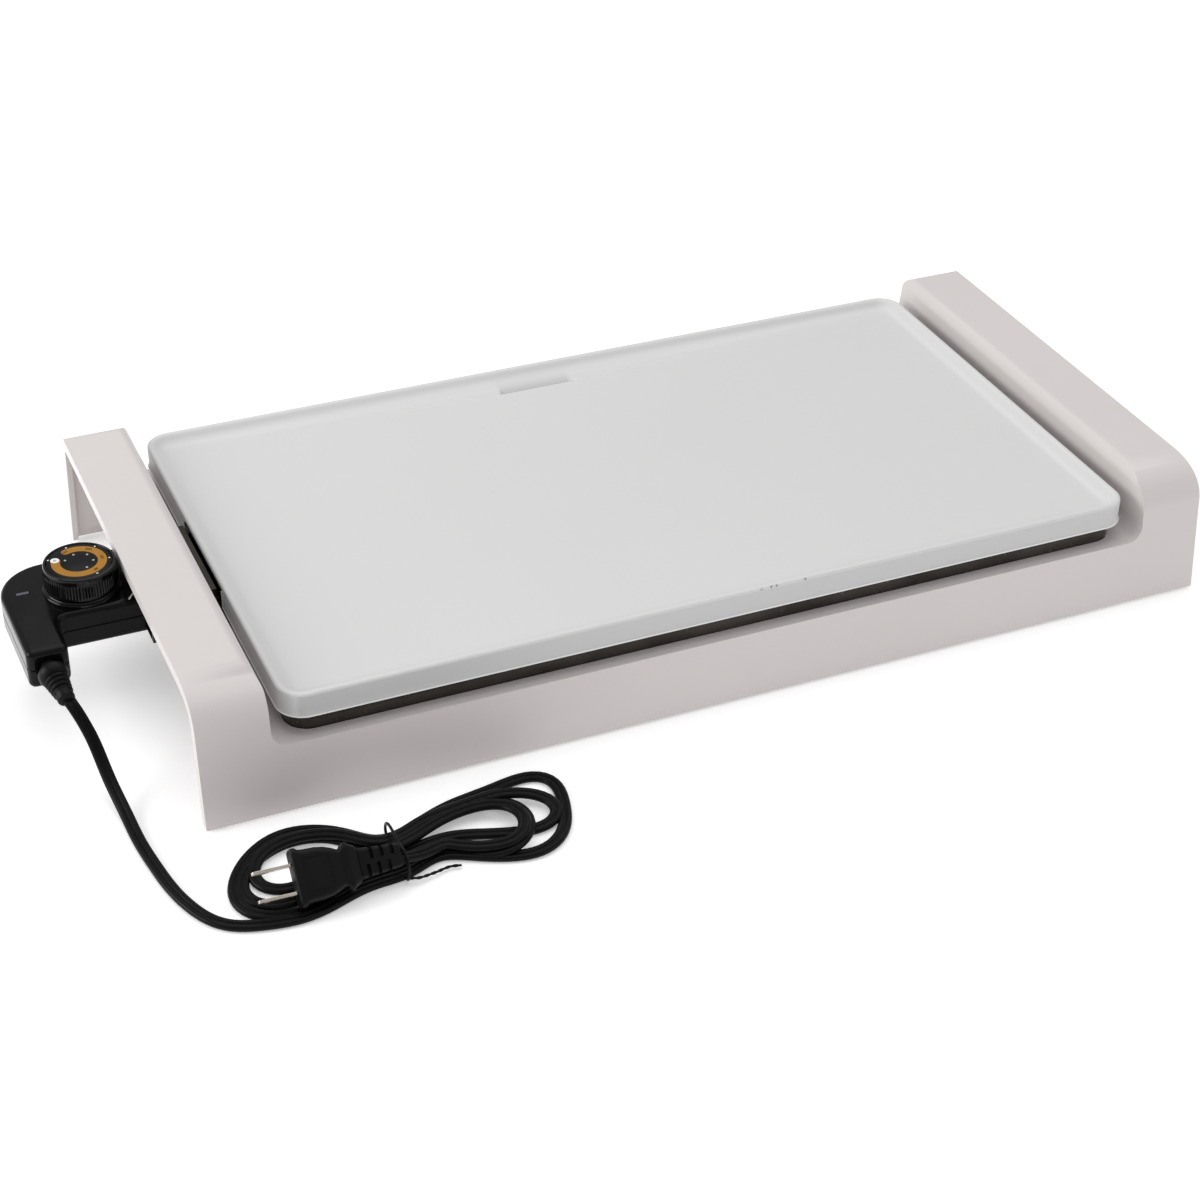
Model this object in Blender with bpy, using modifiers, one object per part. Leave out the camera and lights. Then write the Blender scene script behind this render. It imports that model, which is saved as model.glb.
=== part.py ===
"""Electric griddle: a one-piece plastic guard, a heat pan with a sheathed element, a lift-off plate,
and a plug-in temperature controller with its mains lead. Metres, +Z up, front towards -Y."""
import math

import bmesh
import bpy
from mathutils import Matrix, Vector

# ---- driving dimensions, metres ----
GAP = 0.0003                 # clearance left between pieces that touch
GUARD_X = 0.029              # centre of the guard; the controller makes up the rest of the length
GUARD_HALF_W = 0.2725
GUARD_HALF_D = 0.1365
GUARD_LOW = 0.0015
GUARD_TOP = 0.0695
GUARD_WALL = 0.0028
FRONT_LEAN = 0.0080          # how far the front wall leans in over its height
REAR_LEAN = 0.0098
BRIDGE_W = 0.035             # width of each end bridge
DECK_TOP = 0.0365            # top of the low front and rear walls
OPENING_HALF_W = 0.2275
OPENING_HALF_D = 0.1255

PLATE_HALF_W = 0.230
PLATE_HALF_D = 0.128
PLATE_TOP = 0.0593
PLATE_LOW = 0.0463
PLATE_FLOOR = 0.0548
PLATE_UNDER = 0.0520
PLATE_CORNER = 0.0135
SKIRT_WALL = 0.003

PAN_HALF_W = 0.2262
PAN_HALF_D = 0.1242
PAN_LOW = 0.0193
PAN_TOP = 0.0480
PAN_WALL = 0.0009
PAN_FLOOR = PAN_LOW + PAN_WALL
PAN_CORNER = 0.0120

POST_X = 0.205               # posts of the guard, from its centre
POST_Y = 0.1246
SCREW_Y = 0.1182
HEATER_Z = 0.0472
HEATER_R = 0.0033
HEATER_HALF_W = 0.178
HEATER_HALF_D = 0.086
PLUG_Y = 0.0085              # centre of the controller's arm, probe and terminals
PLUG_Z = 0.0445
PIN_PITCH = 0.020
END_WALL_X = -0.1855         # inner wall of the terminal hood
HOOD_X = (-0.2365, -0.2030)
HOOD_Y = (-0.0245, 0.0375)
HOOD_Z = (0.0325, 0.0565)

CASE_LOW = 0.0340
CASE_SPLIT = 0.0443
CASE_TOP = 0.0545
CASE_WALL = 0.0020
ARM_Y = (-0.0165, 0.0340)
ARM_END_X = -0.2045
GRIP_X = (-0.3015, -0.2803)
GRIP_FRONT_Y = -0.0430
KNOB_X = -0.2627
KNOB_Y = 0.0045
KNOB_R = 0.0180
KNOB_TOP = 0.0695
BOOT_START = Vector((-0.2903, -0.0433, 0.0443))
BOOT_END = Vector((-0.2876, -0.0650, 0.0400))

CORD_R = 0.0028
PLUG_ROOT = Vector((-0.2204, -0.1990, 0.0150))
PLUG_ROLL = math.radians(44)
PLUG_TURN = math.radians(-2)
HANK_ENDS = (Vector((-0.2150, -0.1895)), Vector((-0.1085, -0.1830)))
HANK_HALF_W = 0.0295
HANK_PINCH = 0.0125          # how much the tie narrows the hank on each side
HANK_Z = (0.0016, 0.0106)
TIE_AT = 0.0455              # distance of the tie from the hank's left arc centre


# ---- scene, collections, materials ----
for old in list(bpy.data.objects):
    bpy.data.objects.remove(old)
PARTS = bpy.data.collections.new("electric_griddle")
CUTTERS = bpy.data.collections.new("cutters")
bpy.context.scene.collection.children.link(PARTS)
bpy.context.scene.collection.children.link(CUTTERS)


def material(name, colour, roughness, metallic=0.0):
    """A Principled material in one colour."""
    made = bpy.data.materials.new(name)
    made.use_nodes = True
    shader = made.node_tree.nodes["Principled BSDF"]
    shader.inputs["Base Color"].default_value = (*colour, 1.0)
    shader.inputs["Roughness"].default_value = roughness
    shader.inputs["Metallic"].default_value = metallic
    return made


PLASTIC = material("guard_plastic", (0.66, 0.62, 0.60), 0.38)
CERAMIC = material("ceramic_coating", (0.66, 0.68, 0.68), 0.30)
PAN_STEEL = material("dark_pan_steel", (0.10, 0.085, 0.075), 0.22, 0.9)
BLACK = material("black_plastic", (0.012, 0.012, 0.013), 0.28)
CORD_PVC = material("cord_pvc", (0.014, 0.014, 0.015), 0.45)
RUBBER = material("rubber", (0.03, 0.03, 0.032), 0.75)
STEEL = material("steel", (0.58, 0.57, 0.55), 0.30, 1.0)
NICKEL = material("nickel", (0.62, 0.58, 0.52), 0.25, 1.0)
BRASS = material("brass", (0.65, 0.50, 0.25), 0.32, 1.0)
SHEATH = material("heater_sheath", (0.20, 0.21, 0.20), 0.42, 0.9)
STEATITE = material("steatite", (0.80, 0.77, 0.70), 0.55)
DIAL = material("dial_print", (0.80, 0.36, 0.04), 0.35)
LENS = material("lamp_lens", (0.30, 0.31, 0.42), 0.15)


# ---- shape helpers ----
def arc(cx, cy, radius, start, end, steps):
    """Points on an arc, angles in degrees, both ends included."""
    points = []
    for i in range(steps + 1):
        angle = math.radians(start + (end - start) * i / steps)
        points.append((cx + radius * math.cos(angle), cy + radius * math.sin(angle)))
    return points


def rounded_rect(cx, cy, half_w, half_d, radius, steps=6):
    """Outline of a rectangle with round corners, anticlockwise."""
    outline = []
    for sx, sy, start in ((1, 1, 0), (-1, 1, 90), (-1, -1, 180), (1, -1, 270)):
        outline += arc(cx + sx * (half_w - radius), cy + sy * (half_d - radius), radius,
                       start, start + 90, steps)
    return outline


def bezier(p0, p1, p2, steps):
    """Quadratic curve from p0 to p2 that is tangent to the lines through p1."""
    points = []
    for i in range(steps + 1):
        t = i / steps
        points.append(tuple((1 - t) ** 2 * a + 2 * t * (1 - t) * b + t * t * c
                            for a, b, c in zip(p0, p1, p2)))
    return points


def inset(outline, distance):
    """The outline moved inwards, anticlockwise outlines only."""
    moved = []
    count = len(outline)
    for i, point in enumerate(outline):
        before = Vector(point) - Vector(outline[i - 1])
        after = Vector(outline[(i + 1) % count]) - Vector(point)
        n0 = Vector((-before.y, before.x)).normalized()
        n1 = Vector((-after.y, after.x)).normalized()
        mid = (n0 + n1).normalized()
        shift = mid * (distance / max(0.3, mid.dot(n0)))
        moved.append((point[0] + shift.x, point[1] + shift.y))
    return moved


def finish(name, mesh, finish_material, smooth=True):
    """Link a mesh as a named part."""
    obj = bpy.data.objects.new(name, mesh)
    PARTS.objects.link(obj)
    mesh.materials.append(finish_material)
    if smooth:
        mesh.shade_smooth()
        mesh.set_sharp_from_angle(angle=math.radians(32))
    return obj


def cutter(name, mesh):
    """Link a mesh as a cutter, left out of the build."""
    obj = bpy.data.objects.new("cut_" + name, mesh)
    CUTTERS.objects.link(obj)
    obj.hide_render = True
    obj.display_type = "WIRE"
    return obj


def combine(obj, tool, operation="DIFFERENCE"):
    """Add an exact boolean of a cutter to an object."""
    modifier = obj.modifiers.new(tool.name, "BOOLEAN")
    modifier.object = tool
    modifier.operation = operation
    modifier.solver = "EXACT"
    return obj


def bevel(obj, width, segments=2, angle=40):
    """Round the sharp edges of an object."""
    modifier = obj.modifiers.new("round", "BEVEL")
    modifier.width = width
    modifier.segments = segments
    modifier.limit_method = "ANGLE"
    modifier.angle_limit = math.radians(angle)
    return obj


def mesh_of(bm):
    """Turn a bmesh into a mesh with outward faces."""
    bmesh.ops.recalc_face_normals(bm, faces=bm.faces)
    mesh = bpy.data.meshes.new("mesh")
    bm.to_mesh(mesh)
    bm.free()
    return mesh


def box(x0, x1, y0, y1, z0, z1):
    """A block between two corners."""
    bm = bmesh.new()
    place = Matrix.Translation(((x0 + x1) / 2, (y0 + y1) / 2, (z0 + z1) / 2))
    place = place @ Matrix.Diagonal((abs(x1 - x0), abs(y1 - y0), abs(z1 - z0), 1.0))
    bmesh.ops.create_cube(bm, size=1.0, matrix=place)
    return mesh_of(bm)


def rod(start, end, radius, segments=16, end_radius=None):
    """A round bar, or a taper, between two points."""
    start = Vector(start)
    end = Vector(end)
    bm = bmesh.new()
    turn = (end - start).to_track_quat("Z", "Y").to_matrix().to_4x4()
    place = Matrix.Translation((start + end) / 2) @ turn
    bmesh.ops.create_cone(bm, cap_ends=True, segments=segments, radius1=radius,
                          radius2=radius if end_radius is None else end_radius,
                          depth=(end - start).length, matrix=place)
    return mesh_of(bm)


def prism(outline, low, high, axis="Z"):
    """A flat outline given thickness along an axis: Z takes (x, y), X takes (y, z), Y takes (x, z)."""
    curve = bpy.data.curves.new("outline", "CURVE")
    curve.dimensions = "2D"
    curve.fill_mode = "BOTH"
    curve.extrude = (high - low) / 2
    spline = curve.splines.new("POLY")
    spline.points.add(len(outline) - 1)
    for point, (u, v) in zip(spline.points, outline):
        point.co = (u, v, 0.0, 1.0)
    spline.use_cyclic_u = True
    guide = bpy.data.objects.new("guide", curve)
    bpy.context.scene.collection.objects.link(guide)
    bpy.context.view_layer.update()
    mesh = bpy.data.meshes.new_from_object(guide.evaluated_get(bpy.context.evaluated_depsgraph_get()))
    bpy.data.objects.remove(guide)
    axes = {"Z": ((1, 0, 0), (0, 1, 0), (0, 0, 1)),
            "X": ((0, 1, 0), (0, 0, 1), (1, 0, 0)),
            "Y": ((1, 0, 0), (0, 0, 1), (0, 1, 0))}[axis]
    turn = Matrix(axes).transposed().to_4x4()
    shift = Matrix.Translation(Vector(axes[2]) * (low + high) / 2)
    mesh.transform(shift @ turn)
    bm = bmesh.new()
    bm.from_mesh(mesh)
    bmesh.ops.remove_doubles(bm, verts=bm.verts, dist=1e-6)
    return mesh_of(bm)


def lofted(levels):
    """A closed body through outlines of equal point count, each given with its height."""
    bm = bmesh.new()
    rings = [[bm.verts.new((x, y, z)) for x, y in outline] for outline, z in levels]
    bm.faces.new(rings[0])
    bm.faces.new(rings[-1])
    count = len(rings[0])
    for lower, upper in zip(rings, rings[1:]):
        for i in range(count):
            j = (i + 1) % count
            bm.faces.new((lower[i], lower[j], upper[j], upper[i]))
    return mesh_of(bm)


def turned(name, profile, finish_material, place, steps=32):
    """A turned solid: the profile runs from the axis at the top, down the outside, to the axis."""
    mesh = bpy.data.meshes.new(name)
    bm = bmesh.new()
    verts = [bm.verts.new((r, 0.0, z)) for r, z in profile]
    for a, b in zip(verts, verts[1:]):
        bm.edges.new((a, b))
    bm.to_mesh(mesh)
    bm.free()
    obj = finish(name, mesh, finish_material, smooth=False)
    obj.matrix_world = place
    screw = obj.modifiers.new("turn", "SCREW")
    screw.steps = steps
    screw.render_steps = steps
    screw.use_merge_vertices = True
    screw.merge_threshold = 0.00001
    return obj


def tube(name, points, radius, finish_material, resolution=2):
    """A round tube along a list of points."""
    curve = bpy.data.curves.new(name, "CURVE")
    curve.dimensions = "3D"
    curve.bevel_depth = radius
    curve.bevel_resolution = resolution
    curve.use_fill_caps = True
    spline = curve.splines.new("POLY")
    spline.points.add(len(points) - 1)
    for point, co in zip(spline.points, points):
        point.co = (*co, 1.0)
    obj = bpy.data.objects.new(name, curve)
    PARTS.objects.link(obj)
    curve.materials.append(finish_material)
    return obj


def smooth_route(points, spacing):
    """Points at an even spacing along a Catmull-Rom curve through the given points."""
    points = [Vector(p) for p in points]
    ends = [2 * points[0] - points[1]] + points + [2 * points[-1] - points[-2]]
    fine = []
    for p0, p1, p2, p3 in zip(ends, ends[1:], ends[2:], ends[3:]):
        for i in range(24):
            t = i / 24
            fine.append(0.5 * (2 * p1 + (p2 - p0) * t + (2 * p0 - 5 * p1 + 4 * p2 - p3) * t * t
                               + (3 * p1 - p0 - 3 * p2 + p3) * t ** 3))
    fine.append(points[-1])
    length = sum((b - a).length for a, b in zip(fine, fine[1:]))
    count = max(2, round(length / spacing))
    route = [fine[0]]
    walked = 0.0
    for a, b in zip(fine, fine[1:]):
        step = (b - a).length
        while len(route) < count and walked + step >= length * len(route) / count:
            part = (length * len(route) / count - walked) / step
            route.append(a.lerp(b, part))
        walked += step
    route.append(fine[-1])
    return route


# ---- guard ----
def guard_profile(wall, low):
    """Section of the guard across its depth as (y, z), its walls moved in by a thickness."""
    height = GUARD_TOP - GUARD_LOW

    def front(z):
        return -GUARD_HALF_D + wall + FRONT_LEAN * (z - GUARD_LOW) / height

    def rear(z):
        return GUARD_HALF_D - wall - REAR_LEAN * (z - GUARD_LOW) / height

    top = GUARD_TOP - wall
    down, back, small = 0.017 - wall, 0.027 - wall, 0.0055 - wall / 2
    outline = [(rear(low), low)]
    outline += bezier((rear(top - small), top - small), (rear(top), top), (rear(top) - small, top), 4)
    outline += bezier((front(top) + back, top), (front(top), top), (front(top - down), top - down), 10)
    outline += [(front(low), low)]
    return outline


def window_profile():
    """Section of the space between the bridges as (x, z): round at the deck, flared at the top."""
    left = GUARD_X - GUARD_HALF_W + BRIDGE_W
    right = GUARD_X + GUARD_HALF_W - BRIDGE_W
    foot, lip = 0.0075, 0.0060
    above = GUARD_TOP + 0.010
    outline = arc(left + foot, DECK_TOP + foot, foot, 180, 270, 6)
    outline += arc(right - foot, DECK_TOP + foot, foot, 270, 360, 6)
    outline += arc(right + lip, GUARD_TOP - lip, lip, 180, 90, 6)[:-1]
    outline += [(right + lip, GUARD_TOP), (right + lip, above), (left - lip, above), (left - lip, GUARD_TOP)]
    outline += arc(left - lip, GUARD_TOP - lip, lip, 90, 0, 6)[1:]
    return outline


def post_centres():
    """Centres of the guard's four posts as (x, y)."""
    return [(GUARD_X + sx * POST_X, sy * POST_Y) for sy in (-1, 1) for sx in (-1, 1)]


def make_guard():
    x0 = GUARD_X - GUARD_HALF_W
    x1 = GUARD_X + GUARD_HALF_W
    inner = GUARD_HALF_W - BRIDGE_W + GUARD_WALL
    guard = finish("guard_shell", prism(guard_profile(0.0, GUARD_LOW), x0, x1, "X"), PLASTIC)
    combine(guard, cutter("window", prism(window_profile(), -0.2, 0.2, "Y")))
    bevel(guard, 0.0018, 3, 36)
    hollow = cutter("hollow", prism(guard_profile(GUARD_WALL, -0.010), x0 + 0.0030, x1 - 0.0030, "X"))
    keep = cutter("deck_keep", box(GUARD_X - inner, GUARD_X + inner, -0.2, 0.2,
                                   DECK_TOP - GUARD_WALL, 0.1))
    combine(hollow, keep)
    combine(guard, hollow)
    for i, (start, end) in enumerate(((x0 - 0.02, x0 + 0.0045), (x1 - 0.0045, x1 + 0.02))):
        combine(guard, cutter("end_mouth_%d" % i, prism(guard_profile(0.0062, -0.012), start, end, "X")))
    return guard


def open_guard(guard):
    """Cut the deck opening, the arm's window and the screw holes, and add the posts."""
    opening = rounded_rect(GUARD_X, 0.0, OPENING_HALF_W, OPENING_HALF_D, 0.0135)
    combine(guard, cutter("deck_opening", prism(opening, 0.022, 0.043)))
    left = GUARD_X - GUARD_HALF_W + BRIDGE_W
    combine(guard, cutter("arm_window", box(left - 0.006, left + 0.012, HOOD_Y[0] - 0.003,
                                            HOOD_Y[1] + 0.003, 0.0295, HOOD_Z[1] + 0.002)))
    for i, (x, y) in enumerate(post_centres()):
        combine(guard, cutter("post_%d" % i, rod((x, y, 0.0035), (x, y, 0.0190), 0.009, 24)), "UNION")
        side = math.copysign(1, y)
        combine(guard, cutter("screw_bore_%d" % i, rod((x, side * SCREW_Y, 0.0085),
                                                       (x, side * SCREW_Y, 0.030), 0.0018, 12)))
        combine(guard, cutter("foot_bore_%d" % i, rod((x, y, 0.0), (x, y, 0.0080), 0.0028, 12)))


def make_feet():
    names = ("front_left", "front_right", "rear_left", "rear_right")
    profile = [(0, 0.0072), (0.0021, 0.0072), (0.0025, 0.0066), (0.0025, 0.0032), (0.0072, 0.0032),
               (0.0075, 0.0027), (0.0070, 0.0), (0, 0.0)]
    for name, (x, y) in zip(names, post_centres()):
        turned("foot_" + name, profile, RUBBER, Matrix.Translation((x, y, 0.0)), 24)


# ---- heat pan, element, terminals ----
def make_pan():
    outer = rounded_rect(GUARD_X, 0.0, PAN_HALF_W, PAN_HALF_D, PAN_CORNER)
    soft = inset(outer, 0.0020)
    pan = finish("heat_pan", lofted([(soft, PAN_LOW), (inset(outer, 0.0006), PAN_LOW + 0.0006),
                                     (outer, PAN_LOW + 0.0020), (outer, PAN_TOP)]), PAN_STEEL)
    inner = inset(outer, PAN_WALL)
    combine(pan, cutter("pan_inside", lofted([(inset(inner, 0.0020), PAN_FLOOR),
                                              (inner, PAN_FLOOR + 0.0020), (inner, PAN_TOP + 0.01)])))
    left = GUARD_X - PAN_HALF_W
    combine(pan, cutter("pan_notch", box(left - 0.005, left + 0.005, HOOD_Y[0] - 0.003,
                                         HOOD_Y[1] + 0.003, 0.0300, 0.06)))
    for i, (x, y) in enumerate(post_centres()):
        side = math.copysign(1, y)
        combine(pan, cutter("pan_hole_%d" % i, rod((x, side * SCREW_Y, 0.015),
                                                   (x, side * SCREW_Y, 0.025), 0.0018, 12)))
    return pan


def make_screw(name, x, y, low, under_head, upside=1, shank=0.0014, head=0.0030):
    """A pan-head screw along Z; its head is above when upside is 1 and below when it is -1."""
    profile = [(0, 0.0016), (head * 0.6, 0.0015), (head, 0.0008), (head, 0.0), (shank, 0.0),
               (shank, low - under_head if upside > 0 else under_head - low), (0, low - under_head
               if upside > 0 else under_head - low)]
    place = Matrix.Translation((x, y, under_head))
    if upside < 0:
        place = place @ Matrix.Rotation(math.pi, 4, "X")
    return turned(name, profile, STEEL, place, 12)


def make_pan_hardware():
    for i, (x, y) in enumerate(post_centres(), 1):
        side = math.copysign(1, y)
        make_screw("pan_screw_%d" % i, x, side * SCREW_Y, 0.0095, PAN_FLOOR + GAP)
    floor = PAN_FLOOR + GAP
    top = PLATE_UNDER - GAP - floor
    profile = [(0, top), (0.0040, top), (0.0045, top - 0.0006), (0.0036, top - 0.0030), (0.0036, 0.0012),
               (0.0070, 0.0010), (0.0070, 0.0), (0, 0.0)]
    for i, (sx, sy) in enumerate(((-1, -1), (1, -1), (-1, 1), (1, 1)), 1):
        place = Matrix.Translation((GUARD_X + sx * 0.155, sy * 0.105, floor))
        turned("plate_support_%d" % i, profile, STEEL, place, 16)


def heater_route():
    """Centre line of the sheathed element: in at one terminal, round the plate, out at the other."""
    r = 0.030
    x0, x1 = GUARD_X - HEATER_HALF_W, GUARD_X + HEATER_HALF_W
    y0, y1 = -HEATER_HALF_D, HEATER_HALF_D
    start, near, far = END_WALL_X + 0.0095, PLUG_Y - PIN_PITCH / 2, PLUG_Y + PIN_PITCH / 2
    bend = 0.012
    flat = [(start, far)]
    flat += arc(x0 - bend, far + bend, bend, 270, 360, 6)
    flat += arc(x0 + r, y1 - r, r, 180, 90, 8)
    flat += arc(x1 - r, y1 - r, r, 90, 0, 8)
    flat += arc(x1 - r, y0 + r, r, 0, -90, 8)
    flat += arc(x0 + r, y0 + r, r, 270, 180, 8)
    flat += arc(x0 - bend, near - bend, bend, 0, 90, 6)
    flat += [(start, near)]
    rise = HEATER_Z - PLUG_Z
    route = []
    for x, y in flat:
        off = max(0.0, min(1.0, (abs(y - PLUG_Y) - PIN_PITCH / 2) / 0.020))
        route.append((x, y, PLUG_Z + rise * off * off * (3 - 2 * off)))
    return route


def make_heater():
    tube("heater_element", heater_route(), HEATER_R, SHEATH, 2)
    floor = PAN_FLOOR + GAP
    notch = arc(0.0, HEATER_Z, HEATER_R + GAP, 0, -180, 8)
    for i, (sx, sy) in enumerate(((-1, -1), (1, -1), (-1, 1), (1, 1)), 1):
        y = sy * HEATER_HALF_D
        x = GUARD_X + sx * 0.095
        outline = [(y + 0.0075, floor), (y + 0.0075, HEATER_Z + 0.0012), (y + 0.0052, HEATER_Z + 0.0012)]
        outline += [(y + u, v) for u, v in notch]
        outline += [(y - 0.0052, HEATER_Z + 0.0012), (y - 0.0075, HEATER_Z + 0.0012), (y - 0.0075, floor)]
        stand = finish("heater_stand_%d" % i, prism(outline, x, x + 0.0012, "X"), STEEL, smooth=False)
        combine(stand, cutter("stand_flange_%d" % i, box(x + 0.0004, x + 0.0095, y - 0.0065, y + 0.0065,
                                                         floor, floor + 0.0012)), "UNION")


def make_terminals():
    for i, side in enumerate((-1, 1), 1):
        y = PLUG_Y + side * PIN_PITCH / 2
        start = END_WALL_X + 0.0092
        finish("terminal_pin_%d" % i, rod((start, y, PLUG_Z), (-0.2062, y, PLUG_Z), 0.0023), NICKEL)
        bush = finish("terminal_bush_%d" % i, rod((END_WALL_X + 0.0080, y, PLUG_Z),
                                                  (END_WALL_X + 0.0013, y, PLUG_Z), 0.0058, 20), STEATITE)
        spigot = rod((END_WALL_X + 0.0030, y, PLUG_Z), (END_WALL_X - 0.0020, y, PLUG_Z), 0.0044, 20)
        combine(bush, cutter("bush_spigot_%d" % i, spigot), "UNION")
        combine(bush, cutter("bush_bore_%d" % i, rod((END_WALL_X + 0.02, y, PLUG_Z),
                                                     (-0.21, y, PLUG_Z), 0.0026)))
    guide = finish("probe_guide", rod((END_WALL_X - 0.0012, PLUG_Y, PLUG_Z),
                                      (END_WALL_X + 0.0240, PLUG_Y, PLUG_Z), 0.0036, 20), STEEL)
    combine(guide, cutter("guide_bore", rod((END_WALL_X - 0.01, PLUG_Y, PLUG_Z),
                                            (END_WALL_X + 0.03, PLUG_Y, PLUG_Z), 0.0026)))


def make_hood():
    """The sheet-metal channel that the controller plugs into, with its foot on the pan floor."""
    sheet = 0.0010
    x0, x1 = HOOD_X
    y0, y1 = HOOD_Y
    z0, z1 = HOOD_Z
    under = PLATE_UNDER - 0.0010
    wall = END_WALL_X
    floor = PAN_FLOOR + GAP
    hood = finish("terminal_hood", box(x0, x1, y0, y1, z0, z1), PAN_STEEL, smooth=False)
    combine(hood, cutter("hood_inner_block", box(x1 - 0.002, wall + sheet, y0, y1, z0, under)), "UNION")
    combine(hood, cutter("hood_hollow", box(x0 - 0.01, x1 - sheet, y0 + sheet, y1 - sheet,
                                            z0 + sheet, z1 - sheet)))
    combine(hood, cutter("hood_doorway", box(x1 - 0.003, x1 + 0.001, y0 + sheet, y1 - sheet,
                                             z0 + sheet, under - 0.0006)))
    combine(hood, cutter("hood_trough", box(x1, wall, y0 + sheet, y1 - sheet, z0 + sheet, under + 0.01)))
    combine(hood, cutter("hood_leg", box(wall, wall + sheet, y0 + 0.004, y1 - 0.004, floor,
                                         z0 + 0.004)), "UNION")
    combine(hood, cutter("hood_foot", box(wall, wall + 0.0110, y0 + 0.004, y1 - 0.004, floor,
                                          floor + sheet)), "UNION")
    for i, side in enumerate((-1, 1)):
        y = PLUG_Y + side * PIN_PITCH / 2
        combine(hood, cutter("hood_bush_hole_%d" % i, rod((wall - 0.005, y, PLUG_Z),
                                                          (wall + 0.005, y, PLUG_Z), 0.0047, 20)))
        y = PLUG_Y + side * 0.018
        combine(hood, cutter("hood_foot_hole_%d" % i, rod((wall + 0.0062, y, floor - 0.002),
                                                          (wall + 0.0062, y, floor + 0.003), 0.0017, 12)))
        make_screw("hood_screw_%d" % (i + 1), wall + 0.0062, y, floor + 0.0001, floor + sheet + GAP)
    combine(hood, cutter("hood_probe_hole", rod((wall - 0.005, PLUG_Y, PLUG_Z),
                                                (wall + 0.005, PLUG_Y, PLUG_Z), 0.0039, 20)))
    return hood


# ---- griddle plate ----
def make_plate():
    outer = rounded_rect(GUARD_X, 0.0, PLATE_HALF_W, PLATE_HALF_D, PLATE_CORNER, 7)
    plate = finish("griddle_plate", lofted([(inset(outer, -0.0003), PLATE_LOW), (outer, PLATE_TOP - 0.0012),
                                            (inset(outer, 0.0004), PLATE_TOP - 0.0003),
                                            (inset(outer, 0.0012), PLATE_TOP)]), CERAMIC)
    deep = PLATE_TOP - PLATE_FLOOR
    levels = [(inset(outer, 0.0076), PLATE_FLOOR), (inset(outer, 0.0052), PLATE_FLOOR + 0.18 * deep),
              (inset(outer, 0.0034), PLATE_FLOOR + 0.55 * deep), (inset(outer, 0.0020), PLATE_TOP),
              (inset(outer, 0.0020), PLATE_TOP + 0.004)]
    combine(plate, cutter("plate_pocket", lofted(levels)))
    inner = inset(outer, SKIRT_WALL)
    combine(plate, cutter("plate_underside", lofted([(inner, 0.030), (inner, PLATE_UNDER - 0.0015),
                                                     (inset(inner, 0.0015), PLATE_UNDER)])))
    left = GUARD_X - PLATE_HALF_W
    combine(plate, cutter("skirt_notch", box(left - 0.005, left + 0.0055, HOOD_Y[0] - 0.003,
                                             HOOD_Y[1] + 0.003, 0.030, PLATE_UNDER - 0.0003)))
    well_x = GUARD_X - 0.0077
    mouth = rounded_rect(well_x, 0.1132, 0.0205, 0.0075, 0.0040, 4)
    combine(plate, cutter("grease_well", lofted([(inset(mouth, 0.0020), PLATE_FLOOR - 0.0014),
                                                 (mouth, PLATE_FLOOR - 0.0002),
                                                 (mouth, PLATE_FLOOR + 0.0100)])))
    return plate


# ---- controller ----
def case_outline():
    """Plan of the controller: the grip runs to the front, the arm to the plate, anticlockwise."""
    left, inner = GRIP_X
    front, rear = ARM_Y
    round_x, round_y, round_r = left + 0.0245, 0.0095, 0.0245
    outline = arc(left + 0.0035, GRIP_FRONT_Y + 0.0035, 0.0035, 180, 270, 4)
    outline += arc(inner - 0.0035, GRIP_FRONT_Y + 0.0035, 0.0035, 270, 360, 4)
    outline += arc(inner + 0.0050, front - 0.0050, 0.0050, 180, 90, 5)
    outline += [(ARM_END_X, front), (ARM_END_X, rear)]
    outline += arc(round_x, round_y, round_r, 90, 180, 9)
    return outline


def case_shell(name, outline, low, high, top_is_closed):
    """Half of the controller's housing, rounded at its closed side and hollow from its open side."""
    r = 0.0028
    bend = [(r, 0.0), (0.45 * r, 0.15 * r), (0.12 * r, 0.5 * r), (0.0, r)]
    if top_is_closed:
        levels = [(outline, low)] + [(inset(outline, d), high - h) for d, h in reversed(bend)]
        hollow = (low - 0.01, high - CASE_WALL)
    else:
        levels = [(inset(outline, d), low + h) for d, h in bend] + [(outline, high)]
        hollow = (low + CASE_WALL, high + 0.01)
    shell = finish(name, lofted(levels), BLACK)
    combine(shell, cutter(name + "_hollow", prism(inset(outline, CASE_WALL), *hollow)))
    return shell


def case_screw_places():
    return ((-0.2945, -0.0325), (-0.2935, 0.0180), (-0.2180, -0.0100), (-0.2180, 0.0275))


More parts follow.
